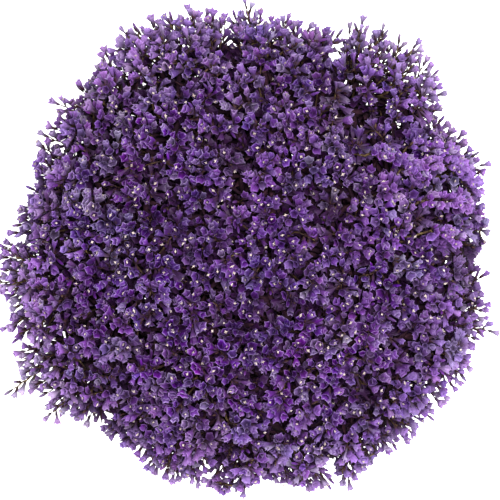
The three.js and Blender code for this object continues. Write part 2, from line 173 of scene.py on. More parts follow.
# %% Find the dome from its focus
FOCUS = np.array([0.0, 0.0, 20.0])  # a point low on the axis, which all directions start from
HALVINGS = 40


def dome_along(directions):
    """The points of the dome that lie along directions from the focus, found by halving."""
    azimuth = np.arctan2(directions[..., 1], directions[..., 0])
    outward = np.hypot(directions[..., 0], directions[..., 1])
    low = np.full(azimuth.shape, -np.pi / 2)
    high = np.full(azimuth.shape, np.pi / 2)
    for _ in range(HALVINGS):
        latitude = (low + high) / 2
        point = dome_point(azimuth, latitude) - FOCUS
        above = point[..., 2] * outward > np.hypot(point[..., 0], point[..., 1]) * directions[..., 2]
        high = np.where(above, latitude, high)
        low = np.where(above, low, latitude)
    return dome_point(azimuth, low)


print("45 degrees up from the focus:", dome_along(np.array([1.0, 0.0, 1.0])).round(1))

# %% Share the dome out evenly
SKIRT_LATITUDE = -18  # the lowest that flowers grow
GOLDEN_ANGLE = math.pi * (3 - math.sqrt(5))  # from one flower to the next, as in a sunflower
NEAR_CROWN = 0.05  # the least cosine of a latitude, which keeps jitter from whirling round the crown


def even_latitudes(count, steps=400):
    """Latitudes that part the dome, from crown to skirt, into bands of equal area."""
    top, bottom = math.pi / 2, math.radians(SKIRT_LATITUDE)
    middles = top + (bottom - top) * (np.arange(steps) + 0.5) / steps
    slopes = np.hypot(DOME_RADIUS * np.sin(middles), DOME_RISE * np.cos(middles))
    areas = np.concatenate([[0], np.cumsum(np.cos(middles) * slopes)])
    wanted = areas[-1] * (np.arange(count) + 0.5) / count
    return np.interp(wanted, areas, top + (bottom - top) * np.arange(steps + 1) / steps)


print("five even bands lie at", np.degrees(even_latitudes(5)).round(), "degrees")

# %% The nineteen heads
INNER_HEADS = 6
INNER_TURN = 8  # azimuth of the first of them
INNER_LATITUDE = 57
OUTER_LATITUDE = 15
HUB_DEPTH = 56  # of the hub, where a stem forks, under the crown of its head

RINGS = ["middle"] + ["inner"] * INNER_HEADS + ["outer"] * len(OUTER_HEADS)
inner_azimuths = [INNER_TURN + 360 / INNER_HEADS * i for i in range(INNER_HEADS)]
latitudes = [90] + [INNER_LATITUDE] * INNER_HEADS + [OUTER_LATITUDE] * len(OUTER_HEADS)
HEAD_AZIMUTH = np.radians([0, *inner_azimuths, *(azimuth for azimuth, _ in OUTER_HEADS)])
CROWN = dome_point(HEAD_AZIMUTH, np.radians(latitudes))
HEADING = unit(CROWN - FOCUS)
HUB = CROWN - HUB_DEPTH * HEADING
HEADS = range(len(RINGS))
print(len(RINGS), "heads, crowns from", CROWN[:, 2].min().round(), "to", CROWN[:, 2].max().round(), "mm up")

# %% Which head a place belongs to
CORNER_PASSES = 8  # in a corner, clearing one border can cross another, so all are cleared several times


def nearest_heads(points):
    """The head that each point belongs to, and by how wide an angle the next one is further off."""
    angles = np.arccos(np.clip(unit(points - FOCUS) @ HEADING.T, -1, 1))
    ranked = np.sort(angles, axis=-1)
    return angles.argmin(axis=-1), ranked[..., 1] - ranked[..., 0]


def head_at(point):
    return int(nearest_heads(point[None])[0][0])


def keep_in_cell(points, owners, room):
    """Moves points sideways until they lie at least `room` inside their own head's share of the dome."""
    for _ in range(CORNER_PASSES):
        for other in HEADS:
            mine = owners != other
            across = unit(HEADING[owners[mine]] - HEADING[other])
            short = room[mine] - dot(points[mine] - FOCUS, across)
            points[mine] += across * np.maximum(short, 0)[:, None]
    return points


print("the crown of the dome belongs to head", head_at(CROWN[0]) + 1)

# %% Spread the sprays over the dome
SPRAY_COUNT = 524
SPRAY_RADIUS = 8
BUD_SPRAY_RADIUS = 2.8
SPRAY_SPREAD = 0.12  # how much larger or smaller one may be, as a share
BUD_SHARE = 0.08
DRAWS_EACH = 6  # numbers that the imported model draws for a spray, of which five are needed here
JITTER = 3
RELIEF = 6  # how far a spray may sit under the dome
GROOVE = 4  # how much deeper the sprays between two heads sit
GROOVE_WIDTH = 0.09  # radians

draw = number_stream(SEED)
draws = np.array([draw() for _ in range(DRAWS_EACH * SPRAY_COUNT)]).reshape(SPRAY_COUNT, DRAWS_EACH)
even = even_latitudes(SPRAY_COUNT)
spread = (draws[:, :2] - 0.5) * 2 * JITTER / DOME_RADIUS
azimuth = np.arange(SPRAY_COUNT) * GOLDEN_ANGLE + spread[:, 0] / np.maximum(np.cos(even), NEAR_CROWN)
mouth = dome_point(azimuth, even + spread[:, 1])
owner, lead = nearest_heads(mouth)
sink = GROOVE * np.exp(-lead / GROOVE_WIDTH) + draws[:, 2] * RELIEF
mouth -= unit(mouth - FOCUS) * sink[:, None]

order = np.argsort(owner, kind="stable")
mouth, owner, draws = mouth[order], owner[order], draws[order]
scale = 1 + (draws[:, 3] - 0.5) * 2 * SPRAY_SPREAD
shut = draws[:, 4] < BUD_SHARE
reach = scale * np.where(shut, BUD_SPRAY_RADIUS, SPRAY_RADIUS)
print(SPRAY_COUNT, "sprays,", shut.sum(), "of them in bud")

# %% Let neighbouring sprays shoulder each other aside
SETTLING_PASSES = 40
SETTLING_SHARE = 0.35  # of an overlap that one pass takes away on each side
SPRAY_GAP = 0.6
OVERHANG = 4  # how far a spray may lean over its neighbour head

for _ in range(SETTLING_PASSES):
    out = unit(mouth - FOCUS)
    apart = mouth[None] - mouth[:, None]
    overlap = reach[None] + reach[:, None] + SPRAY_GAP - np.linalg.norm(apart, axis=-1)
    one, other = np.nonzero(np.triu(overlap > 0, 1))
    way = apart[one, other]
    way = unit(way - out[one] * dot(way, out[one])[:, None])
    push = way * (overlap[one, other] * SETTLING_SHARE)[:, None]
    np.add.at(mouth, one, -push)
    np.add.at(mouth, other, push)
    keep_in_cell(mouth, owner, reach - OVERHANG)
print("pairs still closer than the gap:", len(one))

# %% Draw the sprigs out of the edge
SPRIGS = [  # azimuth, latitude, and how far the sprig stands out
    (21, 0, 5), (52, 8, 4), (66, 2, 4), (91, 4, 6), (142, 3, 7), (163, -4, 5), (187, 2, 8),
    (196, -6, 8), (210, 2, 14), (218, 6, 7), (292, 0, 5), (317, -3, 6), (342, 2, 8), (357, 0, 6),
]
SPRIG_SIZE = 0.8
CLEARANCE = 0.3  # between solids that don't touch

stalked = np.zeros(SPRAY_COUNT, bool)
for turn, level, longer in SPRIGS:
    edge = dome_point(np.radians(float(turn)), np.radians(float(level)))
    nearest = np.linalg.norm(mouth - edge, axis=-1).argmin()
    mouth[nearest] = edge + unit(edge - HUB[owner[nearest]]) * longer
    scale[nearest] *= SPRIG_SIZE
    reach[nearest] *= SPRIG_SIZE
    stalked[nearest] = True
    one = slice(nearest, nearest + 1)
    keep_in_cell(mouth[one], owner[one], reach[one] + CLEARANCE)
from_axis = np.hypot(mouth[:, 0], mouth[:, 1])
print(stalked.sum(), "sprigs; the sprays reach", from_axis.max().round(1), "mm from the axis")

# %% [markdown]
# ## A livelier edge
# The plan gives every head the same bow. In a real bunch some heads bulge and others hang back, so that
# the edge has swells and notches a few millimetres deep. No rule finds them, so they are kept as one list,
# in steps round the bunch, and whatever grows near the edge is moved by it.

# %% Swells and notches of the edge
SWELL_STEP = 6  # degrees
EDGE_SWELL = np.array([  # at every step round the edge, from +X towards +Y
    -8, 0, -4, 3, 4, 1, -5, 5, 8, 9, 10, 6, -1, 3, 3, 5, 6, 5, 8, 8,
    10, 6, 2, 0, 0, 5, 0, -4, 2, 3, 9, 7, 2, 3, 4, 5, 4, -6, -7, -4,
    -3, 6, 3, 2, 5, -1, -8, -1, 6, 2, -1, -5, 0, -4, -1, 4, 0, 1, -2, -10,
], float)


def swell(points):
    """Moves points near the edge away from the axis, or towards it."""
    azimuth = np.degrees(np.arctan2(points[:, 1], points[:, 0])) % 360
    amount = np.interp(azimuth, np.arange(0, 360, SWELL_STEP), EDGE_SWELL, period=360)
    share = (np.hypot(points[:, 0], points[:, 1]) / DOME_RADIUS).clip(0, 1) ** 4
    flat = unit(points * [1, 1, 0] + [1e-9, 0, 0])  # a hair off the axis, where there is no direction
    return points + flat * (amount * share)[:, None]


print("the edge moves by", EDGE_SWELL.min(), "to", EDGE_SWELL.max(), "mm")


# %% [markdown]
# ## One mesh from many small shapes
# A head has some three hundred flowers. As an object each, they would bury the outliner and take minutes
# to make. So a small shape is made once as plain arrays of corners and triangles, and numpy sets down all
# its copies at once. Each corner also carries a few named numbers, such as how far it lies from the
# flower's foot to its rim. A material can read them later, so one material paints every flower a little
# differently.

# %% Gather small shapes into one mesh
class Gathering:
    """Placed copies of small shapes, which end up as one mesh."""

    VALUES = ("across", "inside", "rib", "tone", "fade", "pale", "depth", "along", "round_x", "round_y")

    def __init__(self):
        self.corners, self.triangles, self.finishes, self.values = [], [], [], []
        self.count = 0

    def add(self, shape, finish=0, **values):
        """Adds a shape as it is. A value is one number, or one for each corner."""
        corners, triangles, own = shape
        values = {**own, **values}
        self.corners.append(corners)
        self.triangles.append(triangles + self.count)
        self.finishes.append(np.full(len(triangles), finish))
        row = [np.broadcast_to(values.get(name, 0.0), len(corners)) for name in self.VALUES]
        self.values.append(np.stack(row))
        self.count += len(corners)

    def place(self, shape, roots, axes, scales, finish=0, **values):
        """Adds a copy of a shape at each root. Values given here are one number for each copy."""
        corners, triangles, own = shape
        copies, each = len(roots), len(corners)
        if copies == 0:
            return
        placed = np.einsum("nij,kj,nj->nki", axes, corners, scales) + roots[:, None]
        shifted = triangles[None] + (np.arange(copies) * each)[:, None, None]
        own = {name: np.tile(value, copies) for name, value in own.items()}
        own |= {name: np.repeat(value, each) for name, value in values.items()}
        self.add((placed.reshape(-1, 3), shifted.reshape(-1, 3), own), finish)

    def make(self, name, materials, values, smooth=True):
        """The finished object, with its materials and the values that they read."""
        corners = np.concatenate(self.corners) * MM + AXIS
        triangles = np.concatenate(self.triangles).astype(np.int32)
        mesh = bpy.data.meshes.new(name)
        mesh.vertices.add(len(corners))
        mesh.vertices.foreach_set("co", corners.astype(np.float32).ravel())
        mesh.loops.add(triangles.size)
        mesh.loops.foreach_set("vertex_index", triangles.ravel())
        mesh.polygons.add(len(triangles))
        mesh.polygons.foreach_set("loop_start", np.arange(0, triangles.size, 3, dtype=np.int32))
        mesh.polygons.foreach_set("material_index", np.concatenate(self.finishes).astype(np.int32))
        mesh.polygons.foreach_set("use_smooth", np.full(len(triangles), smooth))
        numbers = np.concatenate(self.values, axis=1).astype(np.float32)
        for value in values:
            layer = mesh.attributes.new(value, "FLOAT", "POINT")
            layer.data.foreach_set("value", numbers[self.VALUES.index(value)])
        mesh.update(calc_edges=True)
        for material in materials:
            mesh.materials.append(material)
        piece = bpy.data.objects.new(name, mesh)
        bpy.context.scene.collection.objects.link(piece)
        return piece


print("numbers that a corner can carry:", len(Gathering.VALUES))


# %% Turn shapes the way they grow
def axes_along(aims, twists):
    """Frames whose third axis is each aim, turned about it by each twist."""
    helper = np.where(np.abs(aims[:, 2:]) < 0.9, [[0.0, 0.0, 1.0]], [[1.0, 0.0, 0.0]])
    side = unit(np.cross(helper, aims))
    up = np.cross(aims, side)
    cos, sin = np.cos(twists)[:, None], np.sin(twists)[:, None]
    return np.stack([side * cos + up * sin, up * cos - side * sin, aims], axis=-1)


def turned(vector, about, angle):
    """A vector turned about a unit axis."""
    along = about * dot(vector, about)
    return along + (vector - along) * math.cos(angle) + np.cross(about, vector) * math.sin(angle)


quarter = turned(np.array([1.0, 0.0, 0.0]), np.array([0.0, 0.0, 1.0]), math.pi / 2)
print("X, turned a quarter about Z:", quarter.round(3))


# %% [markdown]
# ## A calyx
# What looks like the petals of dried statice is the calyx: a papery funnel, pleated along five ribs, whose
# rim stays spread for years. The true flower in its throat is gone or dried to a cream scrap. A funnel
# could be a lathed profile, but then each rim would be a perfect circle. Here each ring of corners swells
# at the ribs and sinks between them, with a little crumpling of its own. The rim has ten corners, one at
# each rib and one between, so that it shows as a pleated star. The rings under it make do with five. Paper
# has two sides, so the funnel is closed: an outer sheet, an inner one, and a rim where they meet.

# %% Join rings of corners
def stitch(lower, upper):
    """Triangles between two rings of corner numbers, which may differ in count, facing outwards."""
    found, i, j = [], 0, 0
    while i < len(lower) or j < len(upper):
        a, b = lower[i % len(lower)], upper[j % len(upper)]
        if j >= len(upper) or (i < len(lower) and (i + 1) * len(upper) <= (j + 1) * len(lower)):
            found.append((a, lower[(i + 1) % len(lower)], b))
            i += 1
        else:
            found.append((a, upper[(j + 1) % len(upper)], b))
            j += 1
    return found


def ring_at(height, radius, count, turn=0.0):
    """A level ring of corners."""
    angles = 2 * np.pi * (np.arange(count) + turn) / count
    return np.stack([radius * np.cos(angles), radius * np.sin(angles), np.full(count, height)], axis=1)


def skin(rings):
    """Corners and triangles of a closed shape from its rings, in order from the root over the rim and back
    inside. A ring is its corners in order, and a single corner closes the shape."""
    corners = np.concatenate(rings)
    starts = np.cumsum([0] + [len(ring) for ring in rings])
    numbers = [list(range(start, end)) for start, end in zip(starts, starts[1:])]
    triangles = []
    for lower, upper in zip(numbers, numbers[1:]):
        if len(lower) == 1:
            triangles += [(lower[0], upper[(k + 1) % len(upper)], upper[k]) for k in range(len(upper))]
        elif len(upper) == 1:
            triangles += [(lower[k], lower[(k + 1) % len(lower)], upper[0]) for k in range(len(lower))]
        else:
            triangles += stitch(lower, upper)
    return corners, np.array(triangles)


print("triangles between rings of 5 and 10 corners:", len(stitch(range(5), range(5, 15))))

# %% Shape a calyx
RIBS = 5
FLOWER_LENGTH = 9.0  # from the root to the rim
PAPER = 0.12  # thickness
BELLY = 0.55  # how wide the funnel is under the rim, of the way from waist to rim
RIB_RISE = 0.35  # how much the rim rises at a rib, and falls between two
RIM_CRUMPLE = 4  # how much more the rim is crumpled up and down than sideways
BELLY_WALL = 1.4 * PAPER  # between the sheets at the belly, where the wall slopes


def funnel(rng, rim, waist, pleat, crumple):
    """An open calyx, FLOWER_LENGTH long, with its root at the origin and its mouth towards +Z."""
    belly = waist + (rim - waist) * BELLY
    table = [  # corners, height as a share, radius, across, inside
        (1, 0.00, 0.0, 0.00, 0.0),
        (5, 0.22, 0.7 * waist, 0.15, 0.0),
        (5, 0.54, waist, 0.45, 0.0),
        (5, 0.76, belly, 0.75, 0.0),
        (10, 1.00, rim, 1.00, 0.5),
        (5, 0.76, belly - BELLY_WALL, 0.75, 1.0),
        (5, 0.56, waist - PAPER, 0.40, 1.0),
        (1, 0.44, 0.0, 0.10, 1.0),
    ]
    rings, values = [], {"across": [], "inside": [], "rib": []}
    for count, height, radius, across, inside in table:
        angles = 2 * np.pi * np.arange(count) / count
        wave = np.cos(RIBS * angles)
        radii = radius * (1 + pleat * wave + crumple * rng.normal(0, 0.5, count))
        heights = np.full(count, height * FLOWER_LENGTH)
        if across == 1:
            radii = radii * (1 + crumple * rng.normal(0, 1, count))
            heights = heights + RIB_RISE * wave + RIM_CRUMPLE * crumple * rng.normal(0, 1, count)
        rings.append(np.stack([radii * np.cos(angles), radii * np.sin(angles), heights], axis=1))
        values["across"].append(np.full(count, across))
        values["inside"].append(np.full(count, inside))
        values["rib"].append(wave * 0.5 + 0.5)
    return *skin(rings), {name: np.concatenate(value) for name, value in values.items()}


shape_rng = np.random.default_rng(SEED)
OPEN_CALYCES = [
    funnel(shape_rng, rim, waist, pleat, crumple)
    for rim, waist, pleat, crumple in [
        (2.75, 0.95, 0.10, 0.06), (2.6, 1.00, 0.12, 0.08), (2.95, 0.95, 0.09, 0.09),
        (2.5, 0.90, 0.14, 0.10), (2.7, 1.05, 0.11, 0.12), (2.2, 1.00, 0.15, 0.11),
        (3.05, 1.00, 0.10, 0.11), (2.4, 0.95, 0.12, 0.14),
    ]
]
print(len(OPEN_CALYCES), "open calyces of", len(OPEN_CALYCES[0][1]), "triangles each")

# %% A plainer calyx for the shade
LOWER_RIM = 3.2
LOWER_RIB = 1.14  # how much further its rim reaches at a rib


def plain_funnel(rim):
    """A calyx with fewer rings. Its rim is a star too, but it isn't crumpled."""
    rings = [
        np.zeros((1, 3)), ring_at(4.4, 1.0, 5), ring_at(FLOWER_LENGTH, rim, 10),
        ring_at(6.6, 1.7, 5), np.array([[0.0, 0.0, 4.0]]),
    ]
    rings[2][::2, :2] *= LOWER_RIB
    rings[2][::2, 2] += 0.5
    across = np.repeat([0.0, 0.4, 1.0, 0.5, 0.1], [1, 5, 10, 5, 1])
    inside = np.repeat([0.0, 0.0, 0.5, 1.0, 1.0], [1, 5, 10, 5, 1])
    rib = np.concatenate([np.ones(6), np.tile([1.0, 0.0], 5), np.ones(6)])
    return *skin(rings), {"across": across, "inside": inside, "rib": rib}


LOWER_CALYX = plain_funnel(LOWER_RIM)
print("triangles of a lower calyx:", len(LOWER_CALYX[1]))


# %% [markdown]
# ## Buds, dried corollas, bracts and leaves
# Some calyces never open: they stay slim spindles, twisted like a furled umbrella. In about a third of the
# open ones the dried corolla is left as a crumpled cream star, which catches more light than anything
# round it. At the foot of each calyx sits a brown, boat-shaped bract, and longer dry ones, here called
# leaves, grow from the forks. A leaf has a keel, so that it isn't a flat strip from any side.

# %% Shape the buds and corollas
def with_across(corners, triangles):
    """A shape with how far along its length each corner lies as its `across`."""
    heights = corners[:, 2] - corners[:, 2].min()
    return corners, triangles, {"across": heights / heights.max()}


def furled_bud():
    stations = [(0, 0, 1), (2.2, 0.6, 5), (5.0, 1.0, 5), (7.4, 0.8, 5), (9.2, 0, 1)]
    rings = [ring_at(z, radius, count, turn=0.25 * i) for i, (z, radius, count) in enumerate(stations)]
    return with_across(*skin(rings))


def dried_corolla(rng):
    """A flat star of four lobes, each bent up or down in its own way."""
    star = ring_at(0.75, 1.0, 8)
    star[:, :2] *= np.tile([1.1, 0.55], 4)[:, None] * rng.uniform(0.8, 1.2, (8, 1))
    star[:, 2] += rng.uniform(-0.35, 0.45, 8)
    return with_across(*skin([np.zeros((1, 3)), star, np.array([[0.1, 0.0, 0.55]])]))


BUD = furled_bud()
COROLLAS = [dried_corolla(shape_rng) for _ in range(4)]
print("triangles: bud", len(BUD[1]), "corolla", len(COROLLAS[0][1]))

# %% Shape the bracts and leaves
LEAF_LENGTH = 11.0
LEAF_WIDTH = 2.9
LEAF_BOW = 1.6  # how far the tip bows outwards
LEAF_KEEL = 0.25
LEAF_CUP = 0.5  # how far its sides are turned up


def scale_bract():
    """A boat-shaped scale that hugs the foot of a calyx on its +Y side."""
    rings = [
        np.array([[0.0, 0.25, 0.0]]),
        np.array([[-0.75, 0.45, 1.7], [0.0, 0.50, 1.7], [0.75, 0.45, 1.7], [0.0, 1.0, 1.7]])[::-1],
        np.array([[0.0, 1.15, 3.9]]),
    ]
    return with_across(*skin(rings))


def dry_leaf():
    """A narrow dry leaf that bows outwards towards +Y."""
    rings = [np.zeros((1, 3))]
    for share, half in [(0.3, 0.5), (0.7, 0.42)]:  # how far up, and half its width there as a share
        rise, lift = share * LEAF_LENGTH, LEAF_BOW * share**2
        rings.append(
            np.array([
                [half * LEAF_WIDTH, lift + LEAF_CUP, rise], [0.0, lift, rise],
                [-half * LEAF_WIDTH, lift + LEAF_CUP, rise], [0.0, lift - LEAF_KEEL, rise],
            ])
        )
    rings.append(np.array([[0.0, LEAF_BOW, LEAF_LENGTH]]))
    return with_across(*skin(rings))


SCALE = scale_bract()
LEAF = dry_leaf()
print("triangles: scale", len(SCALE[1]), "leaf", len(LEAF[1]))


# %% [markdown]
# ## Branchlets
# A branchlet is a tube that bends a little at every flower. Blender's curves can be given a round bevel,
# but the attributes need a mesh, so a ring of corners is carried along the points.
# Each ring keeps the last one's heading as nearly as it can, which stops the tube from wringing itself.

# %% Lay a tube along points
BEND_SHARE = 0.45  # of its length, how long an arch keeps to the heading that it leaves with


def tube(points, radii, sides, section=1.0):
    """A closed tube along points. `section` is the share of the radius at each side, if it isn't round."""
    points = np.asarray(points, float)
    radii = np.broadcast_to(radii, len(points))
    section = np.broadcast_to(section, (len(points), sides))
    steps = np.diff(points, axis=0)
    along = unit(np.concatenate([steps[:1], unit(steps[1:]) + unit(steps[:-1]), steps[-1:]]))
    start = np.cross(along[0], [0.0, 0.0, 1.0] if abs(along[0][2]) < 0.9 else [1.0, 0.0, 0.0])
    angles = 2 * np.pi * np.arange(sides) / sides
    rings, side = [points[:1]], unit(start)
    for point, heading, radius, shares in zip(points, along, radii, section):
        side = unit(side - heading * dot(side, heading))
        up = np.cross(heading, side)
        spokes = np.cos(angles)[:, None] * side + np.sin(angles)[:, None] * up
        rings.append(point + spokes * (radius * shares)[:, None])
    rings.append(points[-1:])
    travelled = np.concatenate([[0], np.cumsum(np.linalg.norm(steps, axis=1))])
    values = {
        "along": np.concatenate([[0], np.repeat(travelled, sides), travelled[-1:]]),
        "round_x": np.concatenate([[0], np.tile(np.cos(angles), len(points)), [0]]),
        "round_y": np.concatenate([[0], np.tile(np.sin(angles), len(points)), [0]]),
    }
    return *skin(rings), values


def arch(start, control, end, places):
    """Points of a smooth arch that leaves `start` towards `control` and comes from it to `end`."""
    t = places[:, None]
    return (1 - t) ** 2 * start + 2 * t * (1 - t) * control + t**2 * end


def bend(start, heading, end, steps, wander=0.0, rng=None):
    """An arch that leaves `start` along `heading`, with some wandering on its way to `end`."""
    control = start + heading * np.linalg.norm(end - start) * BEND_SHARE
    points = arch(start, control, end, np.linspace(0, 1, steps + 1))
    if wander:
        points[1:-1] += rng.normal(0, wander, (steps - 1, 3))
    return points


slope = np.outer(np.arange(5), [1.0, 1.0, 1.0])
print("triangles of a square tube along five points:", len(tube(slope, 1.0, 4)[1]))


# %% [markdown]
# ## Combs of flowers
# Statice flowers sit in two rows along one side of a short twig, like the teeth of a comb. On top of the
# bunch most combs lie flat, and their flowers turn up and push past each other until the mouths close into
# one even surface. At the edge many combs stand out sideways, and there the two rows show. So the twigs are
# laid first. A standing comb gets its own rows of mouths, while the lying ones share an even spread of
# mouths between them, each flower reaching from the nearest twig.
#
# Three more kinds keep the bunch from looking too even. Crests are long, crowded combs that arch over the
# top of the dome, paler than the rest. Loose sprays stand all round the edge, some of them out past the
# others. Lower combs fill the shade under the surface.

# %% Twigs that lie
COMB_DEPTH = 8.6  # of a lying twig under the mouths
UPRIGHT = 0.7  # how strongly flowers turn up
SPINE_POINTS = 5
SPINE_ENDS = (-6, 5)  # of a lying twig of full size, from its middle
SPINE_SLOPE = 0.1  # how steeply it rises to its tip
SPINE_SAG = 0.028  # how its ends bow down, as depth for the square of the way from its middle


def lifted(directions):
    """The way a flower grows: outwards, and turned up."""
    return unit(directions + np.array([0.0, 0.0, UPRIGHT]))


def lying_spine(top, out, along, size):
    places = np.linspace(*SPINE_ENDS, SPINE_POINTS) * size
    depth = COMB_DEPTH - SPINE_SLOPE * places + SPINE_SAG * places**2
    return top + np.outer(places, along) - np.outer(depth, lifted(out))


print("a flower that grows sideways turns up to", lifted(np.array([1.0, 0.0, 0.0])).round(2))

# %% Twigs that stand
STANDING_FLOWERS = 6.4  # on a twig of full size
STANDING_PITCH = 2.9  # between neighbouring flowers
LAST_FLOWER = 0.86  # how far under the top the last flower's root is, as a share of its length
ROOT_LEAN = 0.45  # how far to the left and right the roots sit
MOUTH_LEAN = 4.4  # and how much further the mouths
MOUTH_RISE = 6.6  # of a mouth over its root
MOUTH_LIFT = 0.8  # of a mouth off the plane of its comb
UNEVEN = 0.6  # how far mouths stray from their rows, either way
UNEVEN_LIFT = 1.5
TIP_LEAN = 0.25  # how much of the lean is left to the last flower, which nearly carries on the twig
TIP_RISE = 0.2


def standing_comb(top, out, flat, size, rng, pitch=STANDING_PITCH, count=None):
    """Roots and mouths of two rows, left and right of a twig that points outwards."""
    count = count or int(round(STANDING_FLOWERS * size + rng.uniform(0, 1.0)))
    back = (count - 1 - np.arange(count)) * pitch
    row = np.where(np.arange(count) % 2, 1.0, -1.0) * (1 if rng.random() < 0.5 else -1)
    row[-1] *= TIP_LEAN
    up = np.cross(out, flat)
    roots = top - np.outer(FLOWER_LENGTH * LAST_FLOWER + back, out) + np.outer(row * ROOT_LEAN, flat)
    lean = row * (MOUTH_LEAN * size + rng.normal(0, UNEVEN, count))
    mouths = roots + np.outer(np.full(count, MOUTH_RISE) + rng.normal(0, UNEVEN, count), out)
    mouths += np.outer(lean, flat) + np.outer(rng.normal(MOUTH_LIFT, UNEVEN_LIFT, count), up)
    mouths[-1] = top + out * TIP_RISE
    return roots, mouths


print("a full standing twig bears flowers over", round((STANDING_FLOWERS - 1) * STANDING_PITCH), "mm")

# %% Crests
CREST_PITCH = 2.6  # between pairs of flowers
CREST_RISE = 3.5  # over the dome
CREST_BOW = 2.5  # how much lower its ends are than its middle
CREST_ROOT_LEAN = 0.5  # how far to the left and right the roots sit
CREST_LEAN = 2.8  # and the mouths
CREST_UNEVEN = 0.9
CREST_DRIFT = (1.0, 1.4)  # of the mouths towards its far end, and how far that varies
CRESTS = [  # from, to: azimuth and latitude
    ((41, 51), (23, 40)), ((35, 40), (21, 19)), ((30, 46), (26, 33)), ((18, 44), (13, 26)),
    ((8, 43), (4, 33)), ((25, 28), (15, 17)),
]


def crest(start, end, rng):
    """Roots and mouths of a long, crowded comb that arches over the dome between two of its places, each
    an azimuth and a latitude."""
    count = 2 * int(np.linalg.norm(dome_point(*start) - dome_point(*end)) / CREST_PITCH)
    share = np.linspace(0, 1, count)
    azimuth, latitude = (a + (b - a) * share for a, b in zip(start, end))
    line = dome_point(azimuth, latitude)
    out = unit(line - FOCUS)
    along = unit(np.gradient(line, axis=0))
    side = np.cross(out, along)
    row = np.where(np.arange(count) % 2, 1.0, -1.0)[:, None]
    roots = line + out * (CREST_RISE - COMB_DEPTH) + side * row * CREST_ROOT_LEAN
    bow = CREST_BOW * (2 * share[:, None] - 1) ** 2
    mouths = line + out * (CREST_RISE - bow + rng.normal(0, UNEVEN, (count, 1)))
    mouths += side * (row * CREST_LEAN + rng.normal(0, CREST_UNEVEN, (count, 1)))
    mouths += along * rng.normal(*CREST_DRIFT, (count, 1))
    return roots, mouths


print(len(CRESTS), "crests")

# %% Lay the twig of every spray in the plan
FAN_DEPTH = 80  # of the point that a head's twigs spread from, under its crown
EDGE_LATITUDE = 24  # under it most combs stand out sideways
STANDING_SHARE = {"edge": 0.85, "top": 0.1}
SUNK_AT_EDGE = 0.4  # of the combs at the edge are shorter,
SUNK_BY = (4, 12)  # by so much
SPRIG_COMB = {"size": 0.95, "rows": {"pitch": 3.3}}
BUD_COMB = {"size": 0.55, "rows": {"count": 3}}
EDGE_ROWS = {"pitch": 3.4, "count": 5}
TWIG_TURN = {"lying": 0.7, "standing": 0.45}  # how much twigs turn off their course, in radians
TWIG_LEAN = 0.12

plan_rng = np.random.default_rng(SEED + 1)
fans = CROWN - FAN_DEPTH * HEADING
combs = []


def add_comb(head, top, size, lies, rows=None):
    """Notes a comb: its twig, and its own rows of flowers if it doesn't share the spread ones."""
    out = unit(top - fans[head])
    away = top - CROWN[head]
    away = away - out * dot(away, out)
    away = unit(away) if np.linalg.norm(away) > 1 else unit(np.cross(out, [0.0, 1.0, 0.1]))
    along = turned(away, out, plan_rng.normal(0, TWIG_TURN["lying"]))
    flat = turned(unit(np.cross([0.0, 0.0, 1.0], out)), out, plan_rng.normal(0, TWIG_TURN["standing"]))
    lean = unit(out + plan_rng.normal(0, TWIG_LEAN, 3))
    if lies:
        spine, mouths = lying_spine(top, lean, along, size), None
    else:
        spine, mouths = standing_comb(top, lean, flat, size, plan_rng, **(rows or {}))
    combs.append(dict(head=head, spine=spine, mouths=mouths, out=out, shut=False, lower=False, pale=False))


EDGE_HEIGHT = DOME_HEIGHT + DOME_RISE * math.sin(math.radians(EDGE_LATITUDE))
for place, top in enumerate(swell(mouth)):
    at_edge = top[2] < EDGE_HEIGHT
    stands = plan_rng.random() < STANDING_SHARE["edge" if at_edge else "top"]
    if at_edge and not stalked[place] and plan_rng.random() < SUNK_AT_EDGE:
        top = top - unit(top - FOCUS) * plan_rng.uniform(*SUNK_BY)
    if stalked[place]:
        add_comb(owner[place], top, lies=False, **SPRIG_COMB)
    elif shut[place]:
        add_comb(owner[place], top, lies=False, **BUD_COMB)
    else:
        add_comb(owner[place], top, scale[place], lies=not stands, rows=EDGE_ROWS if at_edge else None)
    combs[-1]["shut"] = shut[place]
print(len(combs), "combs,", sum(comb["mouths"] is not None for comb in combs), "of them stand")

# %% Add the loose sprays, the crests and the lower combs
LOOSE_SPRAYS = 190
LOOSE_LATITUDES = (-14, 12)
LOOSE_RISE = (-4, 1.8)  # of their tops over the dome
LOOSE_SIZE = 0.85
LOOSE_PITCH = 3.7
LOOSE_COUNTS = (4, 7)  # at least 4 flowers, and fewer than 7
LOOSE_SHIFT = 0.4  # of the way to the next one, either way
LOWER_COMBS = 430
LOWER_DEPTH = (12, 24)  # of their flowers under the dome

